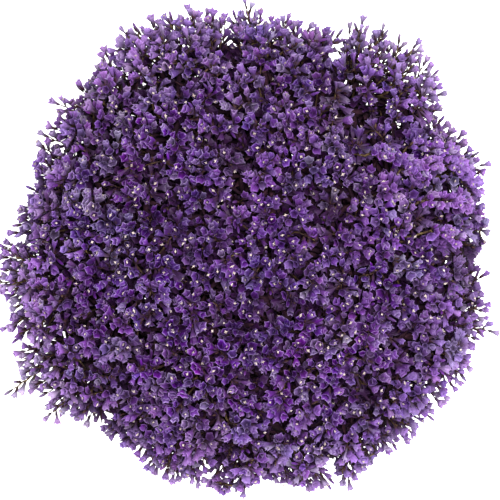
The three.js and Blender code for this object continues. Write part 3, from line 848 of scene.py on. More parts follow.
for i in range(LOOSE_SPRAYS):
    azimuth = 2 * math.pi * (i + plan_rng.uniform(-LOOSE_SHIFT, LOOSE_SHIFT)) / LOOSE_SPRAYS
    top = dome_point(azimuth, math.radians(plan_rng.uniform(*LOOSE_LATITUDES)))
    top = swell((top + unit(top - FOCUS) * plan_rng.uniform(*LOOSE_RISE))[None])[0]
    rows = {"pitch": LOOSE_PITCH, "count": int(plan_rng.integers(*LOOSE_COUNTS))}
    add_comb(head_at(top), top, LOOSE_SIZE, lies=False, rows=rows)
for start, end in CRESTS:
    start, end = np.radians(start), np.radians(end)
    add_comb(head_at(dome_point(*start)), dome_point(*start), 1.0, lies=True)
    combs[-1]["spine"], combs[-1]["mouths"] = crest(start, end, plan_rng)
    combs[-1]["pale"] = True
for i, latitude in enumerate(even_latitudes(LOWER_COMBS)):
    top = dome_point((i + 0.5) * GOLDEN_ANGLE, latitude)
    top = top - unit(top - FOCUS) * plan_rng.uniform(*LOWER_DEPTH)
    add_comb(head_at(top), top, 1.0, lies=True)
    combs[-1]["lower"] = True
print(len(combs), "combs,", sum(comb["mouths"] is not None for comb in combs), "of them with their own rows")

# %% [markdown]
# ## Mouths for the lying combs
# The mouths are spread first, evenly and with a little jitter, and each sinks as deep as the comb under it.
# Some sink further and peep out from between the others. Where heads part, one looks deep down into a dark
# hollow, and those are places that an even rule wouldn't find, so they are a short list. Towards the edge
# the mouths thin out, because there the standing combs take over. Then each mouth looks for a twig near the
# place where its flower's foot would be. A k-d tree answers that at once for thousands of them.

# %% Spread mouths evenly
MOUTH_JITTER = 1.5
HOLLOW_RADIUS = 6.5
HOLLOW_DEPTH = 11
HOLLOWS = np.array([  # their middles, as x and y from the axis
    (52, 100), (46, 85), (62, 76), (73, 79), (88, 72), (53, 26), (44, 11), (48, -19), (-79, 52), (-62, 52),
    (-53, 11), (11, -34), (-10, -72), (-25, -96), (67, -79), (74, -87), (11, 108), (104, 24), (-87, -8),
], float)


def even_mouths(count, depths):
    """Mouths spread evenly over the dome, each sunk by its own depth."""
    latitudes = even_latitudes(count) + plan_rng.normal(0, MOUTH_JITTER / DOME_RADIUS, count)
    turn = plan_rng.normal(0, MOUTH_JITTER / DOME_RADIUS, count) / np.maximum(np.cos(latitudes), NEAR_CROWN)
    spots = dome_point(np.arange(count) * GOLDEN_ANGLE + turn, latitudes)
    return swell(spots - unit(spots - FOCUS) * depths[:, None])


def in_hollows(points):
    """How much each point belongs to a hollow, from 0 to 1."""
    away = np.linalg.norm(points[:, None, :2] - HOLLOWS[None], axis=-1)
    return np.exp(-((away / HOLLOW_RADIUS) ** 2)).max(axis=1)


print(len(HOLLOWS), "hollows")

# %% Reach mouths from the nearest twigs
NEAR_TWIGS = 3  # a mouth picks one of so many
LONGEST_REACH = 11.5  # of a flower
TOO_FAR = 14  # a mouth further from its twig is left out


def thinned(columns, shares):
    """Keeps the rows of `columns` that chance lets through."""
    kept = plan_rng.random(len(shares)) < shares
    return [column[kept] for column in columns]


def nearest_finder(points):
    finder = KDTree(len(points))
    for i, point in enumerate(points):
        finder.insert(point, i)
    finder.balance()
    return finder


def share_mouths(mouths, lower):
    """Gives each mouth to a point of a lying twig near its foot: its comb, its root, the mouth in reach."""
    lying = [(k, comb) for k, comb in enumerate(combs) if comb["mouths"] is None and comb["lower"] == lower]
    twigs = [(k, point) for k, comb in lying for point in comb["spine"]]
    finder = nearest_finder([point for _, point in twigs])
    found = []
    feet = mouths - lifted(unit(mouths - FOCUS)) * COMB_DEPTH
    for spot, foot in zip(mouths, feet):
        near = finder.find_n(foot, NEAR_TWIGS)
        comb, root = twigs[near[plan_rng.integers(NEAR_TWIGS)][1]]
        reach = spot - root
        length = np.linalg.norm(reach)
        if length < TOO_FAR:
            found.append((comb, root, root + reach * min(1.0, LONGEST_REACH / length)))
    return [np.array(column) for column in zip(*found)]


print("a mouth picks one of the", NEAR_TWIGS, "nearest places on twigs")

# %% The flowers on top
TOP_FLOWERS = 7200
COMB_SINK = 0.8  # how closely a mouth follows the depth of its comb
TOP_DEPTH = (-0.5, 2.5)  # more of it, for every mouth
SUNK_SHARE = 0.42  # of them peep out from between the others,
SUNK_DEPTH = (3, 7)  # from so much deeper
EDGE_RETREAT = 2  # how far they stay behind the dome at its edge
EDGE_THINNING = [(100, 0.25), (125, 0.4), (150, 0.62), (180, 1)]  # height, share of the mouths kept there

sinks = np.linalg.norm(dome_along(unit(mouth - FOCUS)) - mouth, axis=1) * ~stalked
comb_tops = nearest_finder(swell(mouth))
spots = even_mouths(TOP_FLOWERS, np.zeros(TOP_FLOWERS))
depth = np.array([sinks[comb_tops.find(spot)[1]] for spot in spots]) * COMB_SINK
depth = depth + plan_rng.uniform(*TOP_DEPTH, TOP_FLOWERS) + HOLLOW_DEPTH * in_hollows(spots)
depth += (plan_rng.random(TOP_FLOWERS) < SUNK_SHARE) * plan_rng.uniform(*SUNK_DEPTH, TOP_FLOWERS)
depth += EDGE_RETREAT * np.cos(even_latitudes(TOP_FLOWERS)) ** 6
top_flowers = share_mouths(even_mouths(TOP_FLOWERS, depth), lower=False)
top_flowers = thinned(top_flowers, np.interp(top_flowers[2][:, 2], *zip(*EDGE_THINNING)))
reaches = np.linalg.norm(top_flowers[2] - top_flowers[1], axis=1)
print(len(reaches), "flowers on top,", reaches.mean().round(1), "mm long on average")

# %% The flowers under them
LOWER_FLOWERS = 4200
LOWER_AT_EDGE = 9  # how much deeper they sit at the edge than on top
LOWER_THINNING = [(108, 1), (125, 0.62), (138, 0.36)]  # distance from the axis, share of what grows lower

depth = plan_rng.uniform(*LOWER_DEPTH, LOWER_FLOWERS)
depth += LOWER_AT_EDGE * np.cos(even_latitudes(LOWER_FLOWERS)) ** 4
lower_flowers = share_mouths(even_mouths(LOWER_FLOWERS, depth), lower=True)
from_axis = np.hypot(*lower_flowers[2][:, :2].T)
lower_flowers = thinned(lower_flowers, np.interp(from_axis, *zip(*LOWER_THINNING)))
print(len(lower_flowers[0]), "flowers under them")

# %% Clear the mouths that would sit inside a standing comb or a crest
ELBOW_ROOM = 3.0

own_mouths = nearest_finder(np.concatenate([comb["mouths"] for comb in combs if comb["mouths"] is not None]))
clear = np.array([own_mouths.find(spot)[2] > ELBOW_ROOM for spot in top_flowers[2]])
top_flowers = [column[clear] for column in top_flowers]
print(clear.sum(), "left clear of the standing combs")


# %% [markdown]
# ## How a head branches
# A stem forks into three branches, each of those into a few more, and each of these carries two to four
# combs. To find such a tree backwards, the combs are shared out among the three branches by their
# direction, and each share is grouped again by nearness. A group's fork sits below the middle of its
# combs, part of the way down to the branch.

# %% Where the three branches of each head end
BRANCHES = 3
CORE_DEPTH = 17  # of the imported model's cores under the dome,
CORE_THICKNESS = 20  # which the branches end under
CORE_INSET = 1.5  # of a core from its neighbours
CORE_FOOT_SPREAD = 0.38  # how far apart the branches end, as a share of the way to the edge of the cell
LEAN_STEP = math.radians(0.5)
LEANS = np.arange(1, 160) * LEAN_STEP  # steps outwards, to look for the edge of a cell


def cell_directions(head, share, corners):
    """Directions from the focus at `share` of the way from a head's middle to the edge of its cell."""
    heading = HEADING[head]
    side = np.cross([0.0, 0.0, 1.0], heading)
    side = unit(side) if dot(side, side) > 1e-6 else np.array([1.0, 0.0, 0.0])
    up = np.cross(heading, side)
    lowest = dome_point(HEAD_AZIMUTH[head], math.radians(SKIRT_LATITUDE))[2]
    inset = CORE_INSET / np.linalg.norm(CROWN[head] - FOCUS)
    found = []
    for corner in range(corners):
        turn = 2 * math.pi * (corner + 0.5) / corners
        across = side * math.cos(turn) + up * math.sin(turn)
        rays = np.outer(np.sin(LEANS), across) + np.outer(np.cos(LEANS), heading)
        points = dome_along(rays)
        within = (points[:, 2] > lowest) & (nearest_heads(points)[0] == head)
        edge = LEANS[np.argmin(within)] - LEAN_STEP - inset
        found.append(across * math.sin(edge * share) + heading * math.cos(edge * share))
    return np.array(found)


def branch_ends(head):
    points = dome_along(cell_directions(head, CORE_FOOT_SPREAD, BRANCHES))
    return points - unit(points - FOCUS) * (CORE_DEPTH + CORE_THICKNESS)


BRANCH_ENDS = [branch_ends(head) for head in HEADS]
print("branches end", np.linalg.norm(BRANCH_ENDS[0] - HUB[0], axis=1).round(1), "mm from the middle hub")

# %% Group points by nearness
AVERAGING_ROUNDS = 6


def groups_of(points, count):
    """Shares points out among `count` groups: seeds far apart, then a few rounds of averaging."""
    seeds = [0]
    while len(seeds) < count:
        gaps = np.linalg.norm(points[:, None] - points[seeds][None], axis=-1).min(axis=1)
        seeds.append(int(gaps.argmax()))
    middles = points[seeds]
    for _ in range(AVERAGING_ROUNDS):
        nearest = np.linalg.norm(points[:, None] - middles[None], axis=-1).argmin(axis=1)
        members = [points[nearest == k] for k in range(count)]
        middles = np.array([m.mean(axis=0) if len(m) else middles[k] for k, m in enumerate(members)])
    return nearest


print("four places in two groups:", groups_of(np.array([[0.0], [9.0], [1.0], [8.0]]), 2))

# %% How deep in the shade a place lies
SHADE_DEPTH = 12  # where it is darkest
SHADE_DEEPER_AT_EDGE = 14  # painted shade is shallower at the edge, where the pale table lights it from below


def edge_share(points):
    """0 over most of the bunch, and 1 at its edge."""
    return (np.hypot(points[..., 0], points[..., 1]) / DOME_RADIUS) ** 6


# Its value paints shade: it darkens the flowers and twigs that lie deep under the surface.
def shade_of(points):
    """0 at the surface of the bunch, 1 well under it."""
    below = dot(dome_along(unit(points - FOCUS)) - points, unit(points - FOCUS))
    return np.clip(below / (SHADE_DEPTH + SHADE_DEEPER_AT_EDGE * edge_share(points)), 0, 1)


print("shade 5 mm under the crown:", shade_of(CROWN[0] - [0, 0, 5]).round(2))

# %% Grow the branchlets of one head
COMBS_ON_A_LIMB = 3
FORK_RISE = 0.5  # of the way from a branch's end to the middle of its combs
LIMB_RADII = (1.15, 0.85)
TWIG_RADII = (0.78, 0.4)
LIMB_SIDES = 5
TWIG_SIDES = 4
LIMB_STEPS = 4
TWIG_STEPS = 3
WANDER = 0.35
LIMB_OVERLAP = 2  # how far a limb starts inside its branch
TWIG_OVERLAP = 0.8  # and a twig inside its limb
BASE_BEHIND = 1.5  # where a twig bends up into its comb: so far behind the first flower's root,
BASE_UNDER = 2.5  # and so far under it
LEAFY_FROM = 0.3  # of the way along a branch, from where leaves can grow
TWIG_TONE = 0.6  # of a twig at the surface; deeper twigs get a lower tone as painted shade


def twig_bases(mine):
    """Where each comb's twig bends up into the comb."""
    spines = np.array([comb["spine"][:2] for comb in mine])
    outwards = np.array([comb["out"] for comb in mine])
    backwards = unit(spines[:, 0] - spines[:, 1])
    return spines[:, 0] + backwards * BASE_BEHIND - outwards * BASE_UNDER


def grow_branchlets(head, rng):
    """The head's twigs as a gathering, and the lines that leaves can grow from."""
    wood = Gathering()
    mine = [comb for comb in combs if comb["head"] == head]
    bases = twig_bases(mine)
    toward = unit(BRANCH_ENDS[head] - HUB[head])
    share = (unit(bases - HUB[head]) @ toward.T).argmax(axis=1)
    lines = []
    for branch, heading in enumerate(toward):
        chosen = np.nonzero(share == branch)[0]
        if len(chosen) == 0:
            continue
        end = BRANCH_ENDS[head][branch] - heading * LIMB_OVERLAP
        lines.append(HUB[head] + np.outer(np.linspace(LEAFY_FROM, 1, 5), end - HUB[head]))
        nearest = groups_of(bases[chosen], max(1, round(len(chosen) / COMBS_ON_A_LIMB)))
        for group in range(nearest.max() + 1):
            members = chosen[nearest == group]
            if len(members) == 0:
                continue
            fork = end + (bases[members].mean(axis=0) - end) * FORK_RISE
            limb = bend(end, heading, fork, LIMB_STEPS, WANDER, rng)
            wood.add(tube(limb, np.linspace(*LIMB_RADII, len(limb)), LIMB_SIDES))
            lines.append(limb)
            onward = unit(limb[-1] - limb[-2])
            for member in members:
                start = fork - onward * TWIG_OVERLAP
                twig = bend(start, onward, bases[member], TWIG_STEPS, WANDER, rng)
                spine = mine[member]["spine"]
                run = np.concatenate([twig, spine])
                # painted shade: a twig's tone falls with how deep its comb lies
                tone = TWIG_TONE * (1 - shade_of(spine.mean(axis=0)))
                wood.add(tube(run, np.linspace(*TWIG_RADII, len(run)), TWIG_SIDES), tone=tone)
                lines.append(twig)
    return wood, lines


print("limbs for the combs of head 1:", round(sum(comb["head"] == 0 for comb in combs) / COMBS_ON_A_LIMB))

# %% [markdown]
# ## Materials
# Painters' hex colours are sRGB, while Blender's nodes count light, so every hex value is turned to linear
# first. One small function adds a node with its settings and its links, and a few more add the kinds that
# come up again and again, so that a material reads from top to bottom like a recipe.

# %% Helpers for materials
def linear(hex_colour):
    """An sRGB hex colour as linear red, green, blue and alpha."""
    channels = [int(hex_colour[i : i + 2], 16) / 255 for i in (1, 3, 5)]
    return [c / 12.92 if c <= 0.04045 else ((c + 0.055) / 1.055) ** 2.4 for c in channels] + [1.0]


def add_node(tree, kind, inputs=(), **settings):
    """Adds a node. `inputs` says what its sockets get: other nodes' outputs, or plain values."""
    node = tree.nodes.new(kind)
    for name, value in settings.items():
        setattr(node, name, value)
    for socket, given in dict(inputs).items():
        if isinstance(given, bpy.types.NodeSocket):
            tree.links.new(given, node.inputs[socket])
        else:
            node.inputs[socket].default_value = given
    return node


def compute(tree, operation, first, second):
    return add_node(tree, "ShaderNodeMath", {0: first, 1: second}, operation=operation).outputs[0]


def mix(tree, share, first, second):
    return add_node(tree, "ShaderNodeMixRGB", {"Fac": share, "Color1": first, "Color2": second}).outputs[0]


def noise(tree, place, scale, detail):
    return add_node(
        tree, "ShaderNodeTexNoise", {"Vector": place, "Scale": scale, "Detail": detail}
    ).outputs["Fac"]


def spanned(tree, value, low, high, start=0.0, end=1.0):
    """Turns a value that runs from `start` to `end` into one that runs from `low` to `high`."""
    ends = {"From Min": start, "From Max": end, "To Min": low, "To Max": high}
    return add_node(tree, "ShaderNodeMapRange", {"Value": value, **ends}).outputs[0]


def ramp(tree, share, stops):
    """A colour from a ramp, whose stops are given as (position, hex colour)."""
    node = add_node(tree, "ShaderNodeValToRGB", {"Fac": share})
    elements = node.color_ramp.elements
    while len(elements) > 1:
        elements.remove(elements[-1])
    for i, (position, colour) in enumerate(stops):
        element = elements[0] if i == 0 else elements.new(position)
        element.position = position
        element.color = linear(colour)
    return node.outputs["Color"]


def start_material(name, values):
    """An empty material, its node tree, and an output for each named number that the mesh carries."""
    material = bpy.data.materials.new(name)
    material.use_nodes = True
    tree = material.node_tree
    tree.nodes.clear()
    read = {
        value: add_node(tree, "ShaderNodeAttribute", attribute_name=value).outputs["Fac"] for value in values
    }
    return material, tree, read


def per_mm(spacing):
    """The scale of a noise texture whose lumps are about `spacing` millimetres apart, in object space."""
    return 1 / (spacing * MM)


print("middle grey in light:", round(linear("#808080")[0], 3))

# %% [markdown]
# ### Dried calyx paper
# The calyx is a dry membrane, thinner than writing paper and dyed by the plant itself. It is matt, lets a
# little light through, and pales towards the rim, where it has worn thin. Its throat is deep violet, and the
# inside darkens towards it further as painted shade. Flowers deep in the bunch are mixed towards a dark
# violet, which is painted shade too. From flower to flower the colour drifts between blue and magenta, and
# the oldest have greyed.

# %% Calyx paper
PAPER_VALUES = ["across", "inside", "rib", "tone", "fade", "pale", "depth"]
OUTER_PAPER = [(0.0, "#352216"), (0.36, "#46303a"), (0.56, "#58357c"), (0.9, "#6f4998"), (1.0, "#aa91cb")]
# the inside darkens towards the throat: partly the calyx's own deep violet, partly painted shade
INNER_PAPER = [(0.0, "#1b0521"), (0.45, "#300f48"), (0.75, "#552b81"), (0.9, "#714a9d"), (1.0, "#b29ad2")]
RIB_LINE = "#4b3566"
PALE_RIM = "#9c7cc4"
# the colour of painted shade, mixed into flowers that lie deep under the surface
DEEP_SHADE = "#2a082e"


def calyx_paper():
    material, tree, read = start_material("dried_calyx_paper", PAPER_VALUES)
    place = add_node(tree, "ShaderNodeTexCoord").outputs["Object"]
    outer = ramp(tree, read["across"], OUTER_PAPER)
    inner = ramp(tree, read["across"], INNER_PAPER)
    paper = mix(tree, read["inside"], outer, inner)

    # ribs: darker lines, and blotches about 1.4 mm apart
    rib = compute(tree, "POWER", read["rib"], 3.0)
    rib = compute(tree, "MULTIPLY", rib, 0.35)
    ribbed = mix(tree, rib, paper, linear(RIB_LINE))
    blotch = noise(tree, place, per_mm(1.4), detail=3.0)
    light = spanned(tree, blotch, 0.72, 1.2, start=0.3, end=0.7)

    # each flower's own colour: a pale one keeps its dark throat, tone turns the hue, fade greys it, and
    # painted shade darkens whatever lies deep under the surface
    paler = compute(tree, "POWER", read["across"], 2.5)
    paler = compute(tree, "MULTIPLY", paler, read["pale"])
    paler = compute(tree, "MULTIPLY", paler, 1.6)
    # the pale rim colour, mixed in by each flower's paleness; at the edge that is partly painted light
    paled = mix(tree, paler, ribbed, linear(PALE_RIM))
    hue = spanned(tree, read["tone"], 0.486, 0.552)
    grey = spanned(tree, read["fade"], 1.26, 0.54)
    own = add_node(
        tree, "ShaderNodeHueSaturation", {"Color": paled, "Hue": hue, "Saturation": grey, "Value": light}
    )
    # painted shade: the deeper a flower lies, the more it is mixed towards DEEP_SHADE
    shade = compute(tree, "MULTIPLY", read["depth"], 0.9)
    colour = mix(tree, shade, own.outputs["Color"], linear(DEEP_SHADE))

    # the surface: matt, wrinkled every half millimetre, with some of the light coming through
    wrinkle = noise(tree, place, per_mm(0.5), detail=2.0)
    bump = add_node(tree, "ShaderNodeBump", {"Height": wrinkle, "Strength": 0.35, "Distance": 0.2 * MM})
    rough = spanned(tree, blotch, 0.5, 0.8)
    sheet = add_node(
        tree, "ShaderNodeBsdfPrincipled",
        {"Base Color": colour, "Roughness": rough, "Normal": bump.outputs[0],
         "IOR": 1.45, "Specular IOR Level": 0.4},
    )
    through = add_node(tree, "ShaderNodeBsdfTranslucent", {"Color": colour, "Normal": bump.outputs[0]})
    both = add_node(
        tree, "ShaderNodeMixShader", {1: sheet.outputs[0], 2: through.outputs[0], "Fac": 0.35}
    )
    add_node(tree, "ShaderNodeOutputMaterial", {"Surface": both.outputs[0]})
    return material


PAPER_FINISH = calyx_paper()
print(PAPER_FINISH.name, len(PAPER_FINISH.node_tree.nodes), "nodes")

# %% [markdown]
# ### Corollas, bracts, stems and jute
# The corolla dries to cream with brown folds. Bracts are dry scales: nearly black at the foot, with a
# paler, papery tip. The stems are a herb's, not a tree's: olive where they are young and brown where they
# have dried out, with fine ridges along them, and the branchlets are browner still. Jute is a pale, dull
# fibre with dark strands in it. All of them are the same recipe: a ramp of colours, read at a noise that
# says where a surface is young or old, and a bump from a finer noise.

# %% Plainer plant finishes
PLANT_VALUES = ["across", "along", "round_x", "round_y", "tone"]
RIDGE_SCALE = 5.0  # of the noise that is wrapped round a stem
RIDGE_STRETCH = 0.06  # how slowly it changes along the stem, for each millimetre


def dry_plant(name, stops, spacing, roughness, shine=0.4, glow=0.0, by_length=0.0, ridges=False):
    """A matt plant finish with blotches `spacing` millimetres apart. `by_length` is how much the colour
    follows `across` and not the blotches."""
    material, tree, read = start_material(name, PLANT_VALUES)
    place = add_node(tree, "ShaderNodeTexCoord").outputs["Object"]
    blotch = noise(tree, place, per_mm(spacing), detail=3.0)
    spread = spanned(tree, blotch, 0.0, 1.0, start=0.3, end=0.7)
    shifted = compute(tree, "ADD", spread, read["tone"])
    shifted = compute(tree, "SUBTRACT", shifted, 0.25)
    level = mix(tree, by_length, shifted, read["across"])
    colour = ramp(tree, level, stops)
    fine_place = place
    fine_scale = per_mm(spacing / 4)
    if ridges:  # lines that run along the stem: fine round it, long down it
        down = compute(tree, "MULTIPLY", read["along"], RIDGE_STRETCH)
        wrapped = add_node(
            tree, "ShaderNodeCombineXYZ", {"X": read["round_x"], "Y": read["round_y"], "Z": down}
        )
        fine_place = wrapped.outputs[0]
        fine_scale = RIDGE_SCALE
    fine = noise(tree, fine_place, fine_scale, detail=2.0)
    shade = spanned(tree, fine, 0.7, 1.15, start=0.3, end=0.7)
    shaded = add_node(tree, "ShaderNodeHueSaturation", {"Color": colour, "Value": shade})
    colour = shaded.outputs["Color"]
    bump = add_node(tree, "ShaderNodeBump", {"Height": fine, "Strength": 0.5, "Distance": 0.2 * MM})
    surface = add_node(
        tree, "ShaderNodeBsdfPrincipled",
        {"Base Color": colour, "Normal": bump.outputs[0], "Roughness": roughness,
         "IOR": 1.45, "Specular IOR Level": shine},
    )
    if glow:  # thin petals let light through
        through = add_node(tree, "ShaderNodeBsdfTranslucent", {"Color": colour})
        surface = add_node(
            tree, "ShaderNodeMixShader", {1: surface.outputs[0], 2: through.outputs[0], "Fac": glow}
        )
    add_node(tree, "ShaderNodeOutputMaterial", {"Surface": surface.outputs[0]})
    return material


COROLLA_FINISH = dry_plant(
    "dried_corolla", [(0.0, "#8d7770"), (0.35, "#b3a29c"), (1.0, "#d0c1ba")],
    spacing=0.8, roughness=0.7, glow=0.2,
)
BRACT_FINISH = dry_plant(
    "dry_bract", [(0.0, "#1d0c18"), (0.45, "#2e1720"), (0.8, "#44302a"), (1.0, "#5e483a")],
    spacing=1.5, roughness=0.85, shine=0.1, by_length=0.5,
)
STEM_FINISH = dry_plant(
    "herb_stem", [(0.0, "#2b2114"), (0.4, "#433a20"), (0.7, "#565029"), (1.0, "#6b6136")],
    spacing=9.0, roughness=0.7, ridges=True,
)
TWIG_FINISH = dry_plant(
    "branchlet", [(0.0, "#1e1110"), (0.4, "#311e15"), (0.7, "#493822"), (1.0, "#655536")],
    spacing=4.0, roughness=0.75, shine=0.2,
)
JUTE_FINISH = dry_plant(
    "jute_fibre", [(0.0, "#6b5133"), (0.4, "#977a4f"), (0.75, "#b59a6c"), (1.0, "#d0b98c")],
    spacing=2.0, roughness=0.9, ridges=True,
)
PLANT_FINISHES = (COROLLA_FINISH, BRACT_FINISH, STEM_FINISH, TWIG_FINISH, JUTE_FINISH)
print("finishes:", [material.name for material in PLANT_FINISHES])

# %% [markdown]
# ## Dress the heads
# Every head now gets its flowers. Each flower is one of eight funnels or a furled bud, stretched to reach
# from its twig to its mouth, turned at random, and sometimes folded a little flat. Its colour is its own,
# its comb's and its place's together: some patches of the bunch have paler flowers and some darker, and all
# round the edge they have bleached more, their paleness there partly painted light. Under them grow plainer
# ones, darkened as painted shade, because a head is several flowers deep. Narrow dry leaves reach across the
# shade from the twigs, as dark as painted shade. They close the gaps, so that the eye meets brown shade
# between the flowers and not the table.

# %% Each comb's own colour
COMB_TONE_SPREAD = 0.1
COMB_FADES = (1.0, 8)  # beta distributions, in which most are near 0 and a few are high
COMB_PALES = (1.2, 8)
CREST_TONE = 0.08  # how much more magenta the crests are
CREST_PALE = 0.22  # and how much paler

tone_rng = np.random.default_rng([SEED, 300])
is_crest = np.array([comb["pale"] for comb in combs])
comb_tones = tone_rng.normal(0, COMB_TONE_SPREAD, len(combs)) + CREST_TONE * is_crest
comb_fades = tone_rng.beta(*COMB_FADES, len(combs))
comb_pales = tone_rng.beta(*COMB_PALES, len(combs)) + CREST_PALE * is_crest
comb_shut = np.array([comb["shut"] for comb in combs])
combs_of_head = [[k for k, comb in enumerate(combs) if comb["head"] == head] for head in HEADS]
print("combs of each head:", [len(mine) for mine in combs_of_head])

# %% Each flower's own colour
TONE = 0.35  # from 0, blue, to 1, magenta
TONE_AT_EDGE = 0.17  # and how much more of each there is at the edge
FADE_AT_EDGE = 0.3
# paler at the edge: partly bleaching, partly painted light
PALE_AND_LIT_AT_EDGE = 0.38
HEAD_TONE_SPREAD = 0.05  # how much heads differ,
TONE_SPREAD = 0.1  # and flowers
PALE_SPREAD = 0.06
FADES = (0.7, 4)  # a beta distribution
PALE_PATCHES = [  # x, y, radius, and how much paler than the others the flowers round there are
    (15, 45, 30, 0.16), (62, 15, 26, 0.1), (105, 45, 30, 0.1), (5, -125, 34, 0.26), (118, -55, 34, 0.2),
    (-120, -80, 30, 0.1), (-60, -5, 40, -0.12), (-15, -55, 40, -0.1), (58, -60, 32, -0.18),
    (-95, -9, 35, -0.12), (0, 0, 42, 0.17), (-92, -96, 34, 0.22), (92, -98, 34, 0.2), (132, -25, 30, 0.2),
    (88, 96, 30, 0.12), (-40, -78, 34, -0.14), (-10, 86, 30, -0.1), (-68, 56, 30, -0.12),
    (60, 68, 24, -0.06),
]


def paleness_at(points):
    """How much paler, or darker if below 0, the flowers are round the patches."""
    x, y, radius, amount = np.array(PALE_PATCHES).T
    away = np.hypot(points[:, :1] - x, points[:, 1:2] - y)
    return (amount * np.exp(-((away / radius) ** 2))).sum(axis=1)


def flower_colours(comb, mouths, rng):
    """How magenta, how grey and how pale each flower is, and how deep in the shade, for its painted shade.
    """
    count = len(comb)
    edge = edge_share(mouths)
    tone = TONE + rng.normal(0, HEAD_TONE_SPREAD) + TONE_AT_EDGE * edge + comb_tones[comb]
    tone = tone + rng.normal(0, TONE_SPREAD, count)
    fade = comb_fades[comb] + FADE_AT_EDGE * edge + rng.beta(*FADES, count)
    pale = comb_pales[comb] + PALE_AND_LIT_AT_EDGE * edge + paleness_at(mouths) + rng.normal(0, PALE_SPREAD, count)
    colours = {"tone": tone, "fade": fade, "pale": pale}
    return {name: np.clip(value, 0, 1) for name, value in colours.items()} | {"depth": shade_of(mouths)}


print("freshness in the middle:", paleness_at(np.zeros((1, 2))).round(2))

# %% Upper flowers of one head
FLOWER_WIDTH = 0.95
SMALL_FLOWERS = {8: 0.82, 9: 0.86, 14: 0.88}  # widths in the heads with the smallest flowers
WIDTH_SPREAD = 0.12
WIDTH_LIMITS = (0.6, 1.2)
FOLDED_SHARE = 0.35  # of the flowers are folded flatter
FOLDED_TO = (0.45, 0.8)
UNFOLDED_TO = (0.85, 1)
FURLED_SHARE = 0.05  # of the flowers on open combs that stay furled
FURLED_AT_EDGE = 0.16  # and how many more at the edge
COROLLA_SHARE = 0.32
COROLLA_SHARE_AT_EDGE = 0.2
COROLLA_SEAT = (0.75, 1.0)  # how far up the calyx it sits
COROLLA_SHIFT = 0.5  # off the middle of the calyx
COROLLA_SIZES = ([0.8, 0.6, 0.8], [1.42, 1.0, 1.5])  # least and most, each as shares in x, y and z
COROLLA_TONES = (0, 0.5)
FLOWER_SHAPES = [*OPEN_CALYCES, BUD]


def flowers_of(head):
    """Comb, root and mouth of every upper flower of a head."""
    mine = combs_of_head[head]
    shared = np.isin(top_flowers[0], mine)
    found = [column[shared] for column in top_flowers]
    rows = [k for k in mine if combs[k]["mouths"] is not None]
    sizes = [len(combs[k]["mouths"]) for k in rows]
    found[0] = np.concatenate([found[0], np.repeat(rows, sizes)]).astype(int)
    found[1] = np.concatenate([found[1]] + [combs[k]["spine"] for k in rows])
    found[2] = np.concatenate([found[2]] + [combs[k]["mouths"] for k in rows])
    return found


def grow_flowers(head, rng):
    """The head's upper calyces and their corollas as a gathering, and the feet that bracts grow at."""
    flowers = Gathering()
    comb, roots, mouths = flowers_of(head)
    reaches = mouths - roots
    long = np.linalg.norm(reaches, axis=1) / FLOWER_LENGTH
    count = len(roots)
    axes = axes_along(unit(reaches), rng.uniform(0, 2 * np.pi, count))
    colours = flower_colours(comb, mouths, rng)
    width = rng.normal(SMALL_FLOWERS.get(head, FLOWER_WIDTH), WIDTH_SPREAD, count).clip(*WIDTH_LIMITS)
    folded = rng.random(count) < FOLDED_SHARE
    fold = np.where(folded, rng.uniform(*FOLDED_TO, count), rng.uniform(*UNFOLDED_TO, count))
    edge = edge_share(mouths)
    furled = comb_shut[comb] | (rng.random(count) < FURLED_SHARE + FURLED_AT_EDGE * edge)
    kind = np.where(furled, len(OPEN_CALYCES), rng.integers(0, len(OPEN_CALYCES), count))
    stretch = np.stack([np.where(furled, 1, width), np.where(furled, 1, width * fold), long], axis=1)
    colours["pale"][furled] = 0
    for k, shape in enumerate(FLOWER_SHAPES):
        some = kind == k
        own = {name: value[some] for name, value in colours.items()}
        flowers.place(shape, roots[some], axes[some], stretch[some], **own)

    corolla_share = COROLLA_SHARE + (COROLLA_SHARE_AT_EDGE - COROLLA_SHARE) * edge
    bearing = ~furled & (rng.random(count) < corolla_share)
    seats = roots + reaches * rng.uniform(*COROLLA_SEAT, (count, 1))
    seats = seats + rng.normal(0, COROLLA_SHIFT, (count, 3))
    grown = rng.uniform(*COROLLA_SIZES, (count, 3))
    which = rng.integers(0, len(COROLLAS), count)
    for k, shape in enumerate(COROLLAS):
        some = bearing & (which == k)
        tone = rng.uniform(*COROLLA_TONES, some.sum())
        flowers.place(shape, seats[some], axes[some], grown[some], finish=1, tone=tone)
    return flowers, (roots, axes)


print("upper flowers of head 1:", len(flowers_of(0)[0]))

# %% Lower flowers of one head
LOWER_SIZES = ([0.8, 0.6, 0.8], [1.15, 1.0, 1.05])
LOWER_TONE = (0.5, 0.12)  # and how much it varies
LOWER_FADES = (0, 0.5)


def grow_lower_flowers(flowers, head, rng):
    mine = np.isin(lower_flowers[0], combs_of_head[head])
    _, roots, mouths = [column[mine] for column in lower_flowers]
    count = len(roots)
    axes = axes_along(unit(mouths - roots), rng.uniform(0, 2 * np.pi, count))
    grown = rng.uniform(*LOWER_SIZES, (count, 3))
    tone = np.clip(rng.normal(*LOWER_TONE, count), 0, 1)
    fade = rng.uniform(*LOWER_FADES, count)
    # painted shade: depth mixes these deep flowers towards DEEP_SHADE
    flowers.place(LOWER_CALYX, roots, axes, grown, tone=tone, fade=fade, depth=shade_of(mouths))


print("lower flowers of head 1:", np.isin(lower_flowers[0], combs_of_head[0]).sum())

